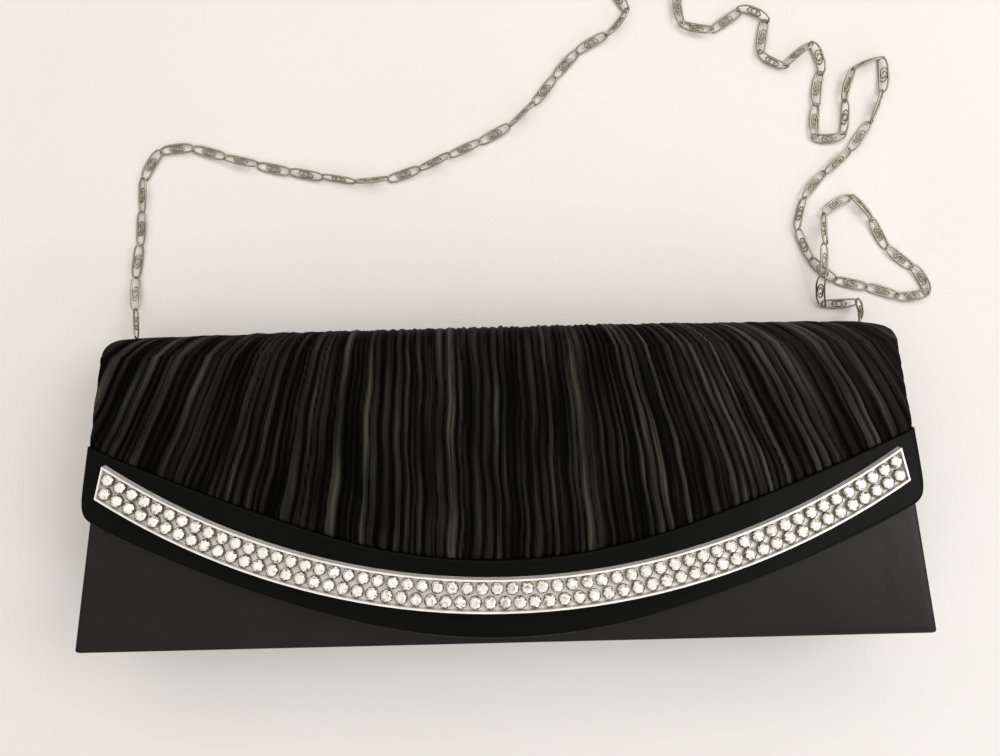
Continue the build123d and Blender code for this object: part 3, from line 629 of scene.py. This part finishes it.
def make_pleats():
    """The pleated cloth: up the strip, over the roll and down the flap to the seam."""
    share, inset, depth = wrapped(540, 1.3, 3.4, 2.2)
    outer, inner, uv, ridge_highlights = [], [], [], []
    rows = [("strip", t) for t in np.linspace(0, 1, 7)[:-1]]
    rows += [("roll", t) for t in np.linspace(0, 1, 12)[:-1]]
    rows += [("flap", t) for t in np.linspace(0, 1, 44)]
    for kind, t in rows:
        if kind == "flap":
            guess = np.full_like(share, 40.0)
            for _ in range(4):
                x = share * (flap_half(guess) - 0.4 - inset)
                guess = 41.6 + (seam_y(x) + 0.3 - 41.6) * t
            y = guess
            z = flap_z(x, y, 3.45)
            n = flap_normal(x, y)
            up = np.clip((y - BOTTOM - 27) / 68, 0, 1.02)
        else:
            half, up = STRIP_HALF, 1.18
            if kind == "roll":
                half, up = half + 6.7 * math.sqrt(1 - (1 - t) ** 2), up - 0.267 * t
            x = share * (half - inset)
            m = -SLOPE - CROWN / HEIGHT * (1 - (x / SECTION) ** 2)
            root = np.sqrt(1 + m * m)
            radius = ROLL - 0.85
            centre_z = FOLD_Z - ROLL * m - ROLL * root
            if kind == "strip":
                y = np.full_like(x, TOP - 0.85)
                z = 1.3 + (centre_z - 1.3) * t
                n = np.stack([np.zeros_like(x), np.ones_like(x), np.zeros_like(x)], -1)
            else:
                turn = np.arctan2(1, -m) * t
                y = TOP - ROLL + radius * np.cos(turn)
                z = centre_z + radius * np.sin(turn)
                n = np.stack([np.zeros_like(x), np.cos(turn), np.sin(turn)], -1)
            up = np.full_like(x, up)
        bulge = 1.25 * (1 - (x / 118) ** 2)  # the cloth stands proud along the top of the bag
        fade = {"strip": t, "roll": 1 - 0.45 * t, "flap": 0.55 * max(1 - 3 * t, 0) ** 2}[kind]
        base = np.stack([x, y, z], -1) - n * (depth - bulge * fade * (depth < 1.5))[:, None]
        line = pleat_line(x, y if kind == "flap" else np.full_like(x, 41.6), up)
        rise = pleat_rise(line, up)
        # Painted sheen: the pleat ridges are painted brighter towards the upper right and near the top roll,
        # on top of each pleat's painted highlight.
        painted_sheen = 0.2 * smooth((x - 40) / 70) * smooth((up - 0.45) / 0.5) + 0.08 * smooth((up - 0.8) / 0.3)
        ridge_highlights.append(rise * (0.3 + 0.7 * pleat_highlight_level(line)) + painted_sheen)
        rise = rise * 0.95 * np.where(depth > 0.9, 0.25, 1.0)
        if kind == "flap":
            close = (1 - t) * (41.6 - seam_y(x))
            rise = rise * (0.35 + 0.65 * smooth(close / 3.0))
            base = base - n * (0.3 * (1 - smooth(close / 1.2)))[:, None]
        outer.append(base + n * rise[:, None])
        inner.append(base - n * 0.12)
        uv.append(np.stack([line / 260 + 0.5, up], -1))
    cloth = shell("pleated_cloth", np.array(outer), np.array(inner), np.array(uv))
    # The attribute "rise" carries the painted highlights and the painted sheen into the pleated satin's base
    # colour.
    ridge_highlight = cloth.data.attributes.new("rise", "FLOAT", "POINT")
    ridge_highlight.data.foreach_set("value", np.tile(np.array(ridge_highlights).ravel(), 2).astype(np.float32))
    give(cloth, PLEATED, None, "flap_pleated_cover", "strip_cover", slot="black_satin")
    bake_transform(cloth)


def flap_rim(count):
    """Points round the band's outer edge: down the left side, along the curve and up the right."""
    xs = np.linspace(-129.8, 129.8, 700)
    curve = np.stack([xs, edge_y(xs)], -1)
    top = 14.4
    down = np.linspace(top, curve[0, 1], 40)
    left = np.stack([-flap_half(down) - 0.1, down], -1)
    right = left[::-1] * [-1, 1]
    path = np.concatenate([left[:-1], curve, right[1:]])
    for _ in range(90):  # round the two corners, which leaves the curve as it is
        near = np.abs(path[1:-1, 0]) > 123.0
        moved = (path[:-2] + path[2:]) / 2
        path[1:-1][near] = path[1:-1][near] * 0.4 + moved[near] * 0.6
    return along_path(path, count)[0]


def make_band():
    """The plain band between the pleats and the flap's curved edge, turned under all round."""
    count = 360
    rim = flap_rim(count)
    tangent = np.gradient(rim, axis=0)
    tangent /= np.linalg.norm(tangent, axis=1, keepdims=True)
    outward = np.stack([tangent[:, 1], -tangent[:, 0]], -1)
    xs = np.linspace(-127.7, 127.7, 900)
    seam = np.stack([xs, seam_y(xs) + 0.2], -1)
    reach = along_path(seam, 2)[1]
    # columns near the ends crowd towards the sides, so the grid stays even round the corners
    share = np.interp(rim[:, 0], [-130.1, -127.2, 127.2, 130.1], [0, 0.01, 0.99, 1])
    share = share * 0.9 + 0.1 * np.linspace(0, 1, count)
    seam = along_path(seam, share * reach)[0]
    radius = 1.0
    inner_rim = rim - outward * radius
    rows = []
    hem = [(0.0, -0.55), (0.15, -0.1), (0.6, 0.12), (1.3, 0.1), (2.0, 0.0)]
    across = inner_rim - seam
    width = np.linalg.norm(across, axis=1, keepdims=True)
    for offset, lift in hem:
        flat = seam + across / width * np.minimum(offset, width * 0.5)
        rows.append((flat, np.full(count, 3.62 + lift)))
    for t in np.linspace(0, 1, 22)[1:]:
        flat = seam + across / width * np.minimum(2.0, width * 0.5) * (1 - t) + across * t
        ease = np.sin(flat[:, 0] / 9.0 + 2 * t) * 0.05 + np.sin(flat[:, 0] / 3.7 + 5 * t) * 0.02
        stitch = -0.12 * np.exp(-(((1 - t) * width[:, 0] - 1.6) / 0.5) ** 2)
        rows.append((flat, 3.62 + ease + stitch))
    for angle in np.linspace(0, math.pi / 2, 6)[1:]:
        drop = radius * (1 - math.cos(angle))
        rows.append((inner_rim + outward * radius * math.sin(angle), np.full(count, 3.62 - drop)))
    for inset, height in ((0.0, 1.2), (0.2, 0.6), (0.7, 0.4), (3.0, 0.38)):
        rows.append((rim - outward * inset, np.full(count, height)))
    outer = np.array([np.stack([p[:, 0], p[:, 1], flap_z(p[:, 0], p[:, 1], h)], -1) for p, h in rows])
    normals = grid_normals(outer)
    if normals[10, count // 2, 2] < 0:
        normals = -normals
    inner = outer - normals * 0.28
    u = np.linspace(0, 1, count)[None, :].repeat(len(rows), 0)
    v = np.linspace(0, 1, len(rows))[:, None].repeat(count, 1)
    band = shell("plain_band", outer, inner, np.stack([u, v], -1))
    give(band, BAND_SATIN, "flap", "flap_band", slot="black_satin")


def stone_places(name):
    """The foot, side, up and normal of each stone of a row, read from its own solids."""
    source = frame["nodes"][name]
    work = bmesh.new()
    work.from_mesh(source.data)
    seen, places = set(), []
    for start in work.verts:
        if start.index in seen:
            continue
        stack, island = [start], []
        seen.add(start.index)
        while stack:
            vert = stack.pop()
            island.append(np.array(source.matrix_world @ vert.co) / MM)
            for edge in vert.link_edges:
                other = edge.other_vert(vert)
                if other.index not in seen:
                    seen.add(other.index)
                    stack.append(other)
        island = np.array(island)
        centre = (island.min(0) + island.max(0)) / 2
        normal = flap_normal(centre[:1], centre[1:2])[0]
        foot = centre + normal * (((island - centre) @ normal).max() - 2.1)
        side = np.array([normal[2], 0, -normal[0]])
        side /= np.linalg.norm(side)
        places.append((foot, side, np.cross(normal, side), normal))
    work.free()
    return places


def turned(place, profile, count, spin=0.0):
    """Points of rings (radius, height, offset in steps) turned round a stone's axis."""
    foot, side, up, normal = place
    verts = []
    for radius, height, offset in profile:
        for index in range(count):
            angle = spin + 2 * math.pi * (index + offset) / count
            out = side * math.cos(angle) + up * math.sin(angle)
            verts.append(foot + out * radius + normal * height)
    return verts


def make_crystals():
    """Round cut stones in their cups, with foil-backed facets whose reflections are painted, dark to bright.
    """
    for word in ("upper", "lower"):
        places = stone_places(word + "_crystals")
        parts, facet_reflections, cups = [], [], []
        for place in places:
            spin = rng.uniform(0, math.pi / 4)
            rings = [(0.95, 2.06, 0.0), (1.42, 1.82, 0.5), (1.76, 1.5, 0.0), (1.78, 1.34, 0.0)]
            verts = turned(place, rings, 8, spin)
            middle = turned(place, [(1.77, 1.52, 0.5), (1.79, 1.36, 0.5)], 8, spin)
            verts += middle + [place[0] + place[3] * 0.4]
            # Painted reflections, one value per facet: the table and upper facets mostly bright, the next
            # ring often dark, the girdle and under faces dim.
            faces, tone = [tuple(range(8))], [rng.choice([0.75, 1.0])]
            for i in range(8):
                j, before = (i + 1) % 8, (i - 1) % 8
                faces += [(i, 8 + i, j), (i, 8 + before, 16 + i, 8 + i)]
                faces += [(8 + i, 16 + i, 32 + i), (8 + i, 32 + i, 16 + j)]
                faces += [(16 + i, 24 + i, 40 + i, 32 + i), (32 + i, 40 + i, 24 + j, 16 + j)]
                faces += [(24 + i, 48, 40 + i), (40 + i, 48, 24 + j)]
                tone += list(rng.choice([0.3, 0.7, 1.0], 2, p=[0.12, 0.23, 0.65]))
                tone += list(rng.choice([0.0, 0.3, 0.7, 1.0], 2, p=[0.34, 0.2, 0.16, 0.3]))
                tone += [0.2, 0.2, 0.5, 0.5]
            parts.append((np.array(verts), faces))
            facet_reflections.append(tone)
            profile = [(1.94, 0.0), (1.94, 1.46), (1.9, 1.6), (1.83, 1.56), (1.81, 1.2)]
            lathe = turned(place, [(r, h, 0) for r, h in profile], 20)
            sides = grid_faces(5, 20, wrap=True)
            cups.append((np.array(lathe), sides + [tuple(range(20)), tuple(range(80, 100))[::-1]]))
        stones = mesh_object(word + "_stones", *join(parts), shade=False)
        attribute = stones.data.attributes.new("facet", "FLOAT", "FACE")
        attribute.data.foreach_set("value", np.concatenate(facet_reflections).astype(np.float32))
        cup = mesh_object(word + "_settings", *join(cups))
        face_outwards(stones)
        face_outwards(cup)
        give(stones, CRYSTAL, "flap", word + "_crystals", slot="crystal")
        give(cup, CUPS, "flap", word + "_cups", slot="cup_metal")


# ---- Case --------------------------------------------------------------------------------------
def panel_bulge(y):
    """Smooth bulge of the front panel, nothing at the bottom edge and the mouth."""
    rise = np.clip((y - BOTTOM) / PANEL, 0, 1)
    return 2.1 * np.sin(math.pi * rise**0.8)


def case_section(y, inset, radius, bulge):
    """Points round the case at one y: a rounded oblong with a soft upper face."""
    half = case_half(y) - inset
    low, high = inset, front_height(y) - inset
    right, left, top, foot = half - radius, radius - half, high - radius, low + radius
    points = []
    for index, (cx, cz) in enumerate(((right, top), (left, top), (left, foot), (right, foot))):
        for angle in np.radians(np.linspace(90 * index, 90 * index + 90, 5)):
            points.append((cx + radius * math.cos(angle), cz + radius * math.sin(angle)))
        if index % 2 == 0:
            z = (high, low)[index // 2]
            points += [(x, z) for x in np.linspace(cx, -cx, 150)[1:-1]]
        else:
            x, other = ((-half, foot), (half, top))[index // 2]
            points += [(x, z) for z in np.linspace(cz, other, 16)[1:-1]]
    points = np.array(points)
    x, z = points[:, 0], points[:, 1]
    top = z > (low + high) / 2
    z = np.where(top, z + bulge * panel_bulge(y) * (1 - (x / SECTION) ** 2), z)
    return np.stack([x, np.full_like(x, y), z], -1)


def make_case_skin():
    """The satin over the case's five panels, closed at the bottom and turned in at the mouth."""
    rows = []
    ease = 1.1
    for angle in np.linspace(0, math.pi / 2, 6):
        y = BOTTOM + ease * (1 - math.sin(angle))
        rows.append(case_section(y, ease * (1 - math.cos(angle)) * 0.9, 1.1, 1.0))
    rows = rows[::-1]
    for y in np.linspace(BOTTOM + ease, MOUTH - 0.9, 40)[1:]:
        rows.append(case_section(y, 0, 1.1, 1.0))
    rows.append(case_section(MOUTH - 0.2, 0.15, 1.0, 1.0))
    rows.append(case_section(MOUTH, 0.7, 0.9, 1.0))
    rows.append(case_section(MOUTH, 2.1, 0.6, 0.3))
    rows.append(case_section(MOUTH - 0.5, 2.7, 0.4, 0.1))
    outer = np.array(rows)
    closing = []
    for share in (0.003, 0.3, 0.6, 0.9):
        ring = outer[0].copy()
        middle = (ring[:, 2].min() + ring[:, 2].max()) / 2
        ring[:, 2] = middle + (ring[:, 2] - middle) * share
        ring[:, 1] = BOTTOM
        closing.append(ring)
    outer = np.concatenate([np.array(closing), outer])
    x, y, z = outer[..., 0], outer[..., 1], outer[..., 2]
    slow = 0.10 * np.sin(x / 17 + y / 11) + 0.06 * np.sin(x / 6.1 - y / 8.3)
    face = (z > 8) & (np.abs(x) < 118) & (y > BOTTOM + 3)
    normals = grid_normals(outer, True)
    if normals[30, 60, 2] < 0:
        normals = -normals
    outer = outer + normals * (slow * face)[..., None] * 0.6
    outer[..., 2] = np.maximum(outer[..., 2], 0.0)
    outer[..., 1] = np.maximum(outer[..., 1], BOTTOM)
    inner = outer - normals * 0.3
    skin = shell("case_skin", outer, inner, wrap=True)
    covers = ("back_cover", "bottom_cover", "front_cover", "left_gusset_cover", "right_gusset_cover")
    give(skin, SATIN, "case", *covers, slot="black_satin")


def make_case_lining():
    """The lining bag inside, a little loose, with its seams along the corners."""
    rows = []
    for share, up in ((0.02, 2.9), (0.5, 2.9), (0.9, 2.85), (1.0, 2.9), (1.0, 3.6)):
        ring = case_section(BOTTOM + up, 2.35, 0.7, 0.0)
        centre = ring.mean(0)
        rows.append(centre + (ring - centre) * share)
    for y in np.linspace(BOTTOM + 5, MOUTH - 0.6, 34):
        rows.append(case_section(y, 2.35, 0.8, 0.0))
    outer = np.array(rows)
    outer[..., 2] = np.where(outer[..., 2] > 12, outer[..., 2] - 0.95, outer[..., 2])
    normals = grid_normals(outer, True)
    if normals[20, 60, 2] < 0:
        normals = -normals
    x, y = outer[..., 0], outer[..., 1]
    ripple = 0.16 * np.sin(y / 4.3 + 0.09 * x) * np.sin(x / 13) + 0.1 * np.sin(x / 3.1)
    inner = outer - normals * (0.42 + 0.5 * np.abs(ripple))[..., None]
    bag = shell("case_lining", outer, inner, wrap=True)
    linings = ("back_lining", "bottom_lining", "front_lining", "left_gusset_lining", "right_gusset_lining")
    give(bag, LINING, "case", *linings, slot="lining")


def make_pads():
    """Thin foam under the front satin, under the flap's satin and in the top strip."""
    xs = np.linspace(-1, 1, 90)
    edge = np.clip((np.abs(xs) - 0.985) / 0.015, 0, 1)
    top, low = [], []
    for y in np.linspace(BOTTOM + 0.9, MOUTH - 0.8, 30):
        x = xs * (case_half(y) - 1)
        crown = panel_bulge(y) * (1 - (x / SECTION) ** 2)
        over = front_height(y) - 0.75 + crown * 0.93 - 0.7 * edge
        top.append(np.stack([x, np.full_like(x, y), over], -1))
        low.append(np.stack([x, np.full_like(x, y), np.full_like(x, front_height(y) - 1.58)], -1))
    front = shell("front_pad", np.array(top), np.array(low))
    give(front, FOAM, "case", "front_padding", slot="foam")
    top, low = [], []
    for t in np.linspace(0, 1, 40):
        y = np.zeros_like(xs)
        for _ in range(5):
            x = xs * (flap_half(y) - 2.2)
            y = 39.0 + (edge_y(x) + 2.2 - 39.0) * t
        ease = 0.45 * np.maximum(edge, np.clip((t - 0.97) / 0.03, 0, 1))
        top.append(np.stack([x, y, flap_z(x, y, 2.95 - ease)], -1))
        low.append(np.stack([x, y, flap_z(x, y, 2.36)], -1))
    flap = shell("flap_pad", np.array(top), np.array(low))
    give(flap, FOAM, "flap", "flap_padding", slot="foam")
    top, low = [], []
    for z in np.linspace(1.6, 17.6, 12):
        ease = 0.2 * np.maximum(edge, abs(z - 9.6) > 7.9)
        x = xs * (STRIP_HALF - 1)
        top.append(np.stack([x, TOP - 1.12 - ease, np.full_like(xs, z)], -1))
        low.append(np.stack([x, np.full_like(xs, TOP - 1.76), np.full_like(xs, z)], -1))
    strip = shell("strip_pad", np.array(top), np.array(low))
    give(strip, FOAM, "top_strip", "strip_padding", slot="foam")


def make_pocket():
    """The slip pocket: a patch with a turned hem along its open top edge, sewn on three sides."""
    xs, ys = np.linspace(-60, 60, 60), np.linspace(-36.8, 18.2, 34)
    outer, inner = [], []
    for y in ys:
        near = np.minimum(np.minimum(60 - np.abs(xs), y + 36.8), 8) / 8
        bulge = 0.42 * np.sqrt(np.clip(near, 0, 1)) + 0.05 * np.sin(xs / 5) * near
        hem = 0.12 if y > 14.5 else 0.0
        z = 2.98 + bulge + hem
        outer.append(np.stack([xs, np.full_like(xs, y), z], -1))
        inner.append(np.stack([xs, np.full_like(xs, y), z - 0.26 - hem * 0.5], -1))
    patch = shell("pocket", np.array(outer), np.array(inner))
    give(patch, LINING, "case", "slip_pocket", slot="lining")
    parts = []
    for x in np.arange(-58.5, 59, 2.0):
        loop = [(x, 13.9, 3.62), (x + 0.65, 13.9, 3.68), (x + 1.3, 13.9, 3.62)]
        parts.append(tube(loop, 0.11, 5))
    stitch = mesh_object("pocket_stitches", *join(parts))
    give(stitch, THREAD, "case", slot="lining")


def make_tabs():
    """Ribbon loops that hold the rings, their tails between the board and the lining."""
    for side, word in ((-1, "left"), (1, "right")):
        centre_y, centre_z, x0 = 43.0, 10.0, side * 119.3
        past = 0.55 * math.pi / 1.3
        turn = np.linspace(-past, math.pi + past, 18)
        loop = [(1.08 * math.cos(a), 1.08 * math.sin(a)) for a in turn]
        path = [(0.3, -11.0), (0.3, -7.0), (0.33, -3.0)] + loop + [(-0.33, -3.0), (-0.3, -7.0), (-0.3, -11.0)]
        path = np.array(path)
        tangent = np.gradient(path, axis=0)
        tangent /= np.linalg.norm(tangent, axis=1, keepdims=True)
        out = np.stack([tangent[:, 1], -tangent[:, 0]], -1)
        zs = np.linspace(-2.5, 2.5, 15)
        outer, inner = [], []
        for point, o in zip(path, out):
            rib = 0.03 * np.cos(zs * 9)
            edge = 0.05 * np.exp(-((2.5 - np.abs(zs)) / 0.25) ** 2)
            for target, offset in ((outer, 0.17 + rib - edge), (inner, -0.17 - rib + edge)):
                x, y = x0 + point[0] + o[0] * offset, centre_y + point[1] + o[1] * offset
                target.append(np.stack([x, y, centre_z + zs], -1))
        tab = shell(word + "_tab", np.array(outer), np.array(inner))
        give(tab, RIBBON, "case", word + "_ring_tab", slot="ribbon")


# ---- Cloth hinges and flap lining ----------------------------------------------------------------
def ribbon_path(name, path, half, material, bodies, start=None, flip=1, nodes=()):
    """Cloth across the bag's width along a path in the y-z plane."""
    thickness = 0.25
    path, reach = along_path(np.array(path, float), 26)
    for _ in range(2):
        path[1:-1] = path[1:-1] * 0.5 + (path[:-2] + path[2:]) * 0.25
    tangent = np.gradient(path, axis=0)
    tangent /= np.linalg.norm(tangent, axis=1, keepdims=True)
    out = np.stack([-tangent[:, 1], tangent[:, 0]], -1) * flip
    xs = np.linspace(-half, half, 120)
    outer, inner = [], []
    for point, o in zip(path, out):
        ripple = 0.05 * np.sin(xs / 2.9) + 0.04 * np.sin(xs / 7.3)
        outer.append(np.stack([xs, point[0] + o[0] * ripple, point[1] + o[1] * ripple], -1))
        under = ripple - thickness
        inner.append(np.stack([xs, point[0] + o[0] * under, point[1] + o[1] * under], -1))
    cloth = shell(name, np.array(outer), np.array(inner))
    slot = "black_satin" if material is SATIN else "lining"
    if start is None:
        give(cloth, material, bodies[0], *nodes, slot=slot)
    else:
        give(cloth, material, None, slot=slot)
        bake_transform(cloth)


def make_flap_lining():
    """The flap's lining, with its edge turned in just inside the flap's outline."""
    xs = np.linspace(-1, 1, 150)
    outer, inner = [], []
    for t in np.linspace(0, 1, 46):
        y = np.zeros_like(xs)
        for _ in range(5):
            x = xs * (flap_half(y) - 2.6)
            y = 39.0 + (edge_y(x) + 2.6 - 39.0) * t
        ripple = 0.04 * np.sin(x / 4.1 + y / 6.0)
        outer.append(np.stack([x, y, flap_z(x, y, 0.47 + ripple)], -1))
        inner.append(np.stack([x, y, flap_z(x, y, 0.86)], -1))
    lining = shell("flap_inside", np.array(outer), np.array(inner))
    give(lining, LINING, "flap", "flap_lining", slot="lining")


def make_hinges():
    """Cloth that joins case, strip and flap, outside and inside, and the strip's own lining."""
    ribbon_path(
        "outer_hinge",
        [(39.0, -0.02), (44.0, 0.0), (46.4, 0.12), (46.9, 0.9), (46.95, 3.0), (46.95, 6.0)], 117.4,
        SATIN, ("case", "top_strip"), (0, 0.0462, 0.0002), -1,
    )
    ribbon_path(
        "inner_hinge", [(36.0, 2.95), (41.5, 2.95), (43.3, 3.1), (43.62, 4.4), (43.62, 8.0)], 116.5,
        LINING, ("case", "top_strip"), (0, 0.0415, 0.0029), 1,
    )
    ribbon_path(
        "strip_inside", [(43.95, 1.4), (43.95, 10.0), (43.95, 17.9)], 117.6,
        LINING, ("top_strip",), flip=-1, nodes=("strip_lining",),
    )
    ribbon_path(
        "fold_lining",
        [(43.75, 9.0), (43.75, 17.5), (43.2, 20.6), (41.0, 23.0), (38.0, 24.7), (33.0, 25.9)], 117.0,
        LINING, ("top_strip", "flap"), (0, 0.0437, 0.0184), -1,
    )


# ---- Bare nodes, floor, light ----------------------------------------------------------------------
def dress_nodes():
    """A material for every CAD node, by its material slot."""
    table = {
        "board": CARD, "foam": FOAM, "lining": LINING, "bar_metal": SILVER, "cup_metal": CUPS,
        "snap_metal": SNAP, "magnet": MAGNET, "ring_metal": CHAIN, "chain_metal": CHAIN,
        "black_satin": SATIN, "ribbon": RIBBON, "crystal": CRYSTAL,
    }
    slots = {entry["node"]: entry["material_slot"] for entry in frame["record"]["subparts"]}
    for name, obj in frame["nodes"].items():
        obj.data.materials.clear()
        obj.data.materials.append(table[slots[name]])


def make_floor():
    """A plain pale table top."""
    size = 3.0
    verts = [(-size, -size, 0), (size, -size, 0), (size, size, 0), (-size, size, 0)]
    floor = mesh_object("table_top", np.array(verts) / MM + [0, 0, -0.02], [(0, 1, 2, 3)])
    m = Mat("table_paint", (0.80, 0.77, 0.72), 0.55, Specular_IOR_Level=0.25)
    place = m.coords()
    m.color(m.ramp(m.noise(place, 9.0, 4.0), [(0.3, (0.80, 0.78, 0.735)), (0.7, (0.83, 0.81, 0.77))]))
    m.bump(m.noise(place, 420.0, 4.0), 0.0003, 0.35)
    floor.data.materials.append(m.mat)


def area_light(name, place, target, size, power, color):
    """A soft rectangular light that faces a point."""
    data = bpy.data.lights.new(name, "AREA")
    data.shape = "RECTANGLE"
    data.size, data.size_y = size
    data.energy = power
    data.color = color
    light = bpy.data.objects.new(name, data)
    light.location = place
    light.rotation_euler = (Vector(target) - Vector(place)).to_track_quat("-Z", "Y").to_euler()
    bpy.context.scene.collection.objects.link(light)


def make_light():
    """A bright ceiling over darker walls, a window on the right and a little cool light from below right."""
    world = bpy.data.worlds.new("room")
    world.use_nodes = True
    bpy.context.scene.world = world
    nodes, links = world.node_tree.nodes, world.node_tree.links
    back = nodes["Background"]
    back.inputs["Strength"].default_value = 1.0
    place, split, ramp = (nodes.new("ShaderNode" + kind) for kind in ("TexCoord", "SeparateXYZ", "ValToRGB"))
    links.new(place.outputs["Generated"], split.inputs["Vector"])
    links.new(split.outputs["Z"], ramp.inputs["Fac"])
    links.new(ramp.outputs["Color"], back.inputs["Color"])
    first, last = ramp.color_ramp.elements
    first.position, first.color = 0.12, (0.10, 0.09, 0.075, 1)
    last.position, last.color = 0.8, (0.93, 0.91, 0.875, 1)
    area_light("window", (1.1, 0.5, 1.2), (0, 0, 0), (0.9, 0.9), 10.0, (1.0, 0.98, 0.95))
    area_light("low_right", (0.9, -0.9, 0.55), (0.05, 0, 0), (0.8, 0.5), 4.0, (0.72, 0.84, 1.0))
    area_light("top", (0.0, 1.1, 1.0), (0, 0.05, 0), (1.6, 0.5), 4.0, (1.0, 0.98, 0.95))


make_camera()
dress_nodes()
make_chain()
make_pleats()
make_band()
make_crystals()
make_case_skin()
make_case_lining()
make_pads()
make_pocket()
make_tabs()
make_flap_lining()
make_hinges()
make_floor()
make_light()
view = bpy.context.scene.view_settings
view.view_transform = "Standard"
view.look = "None"
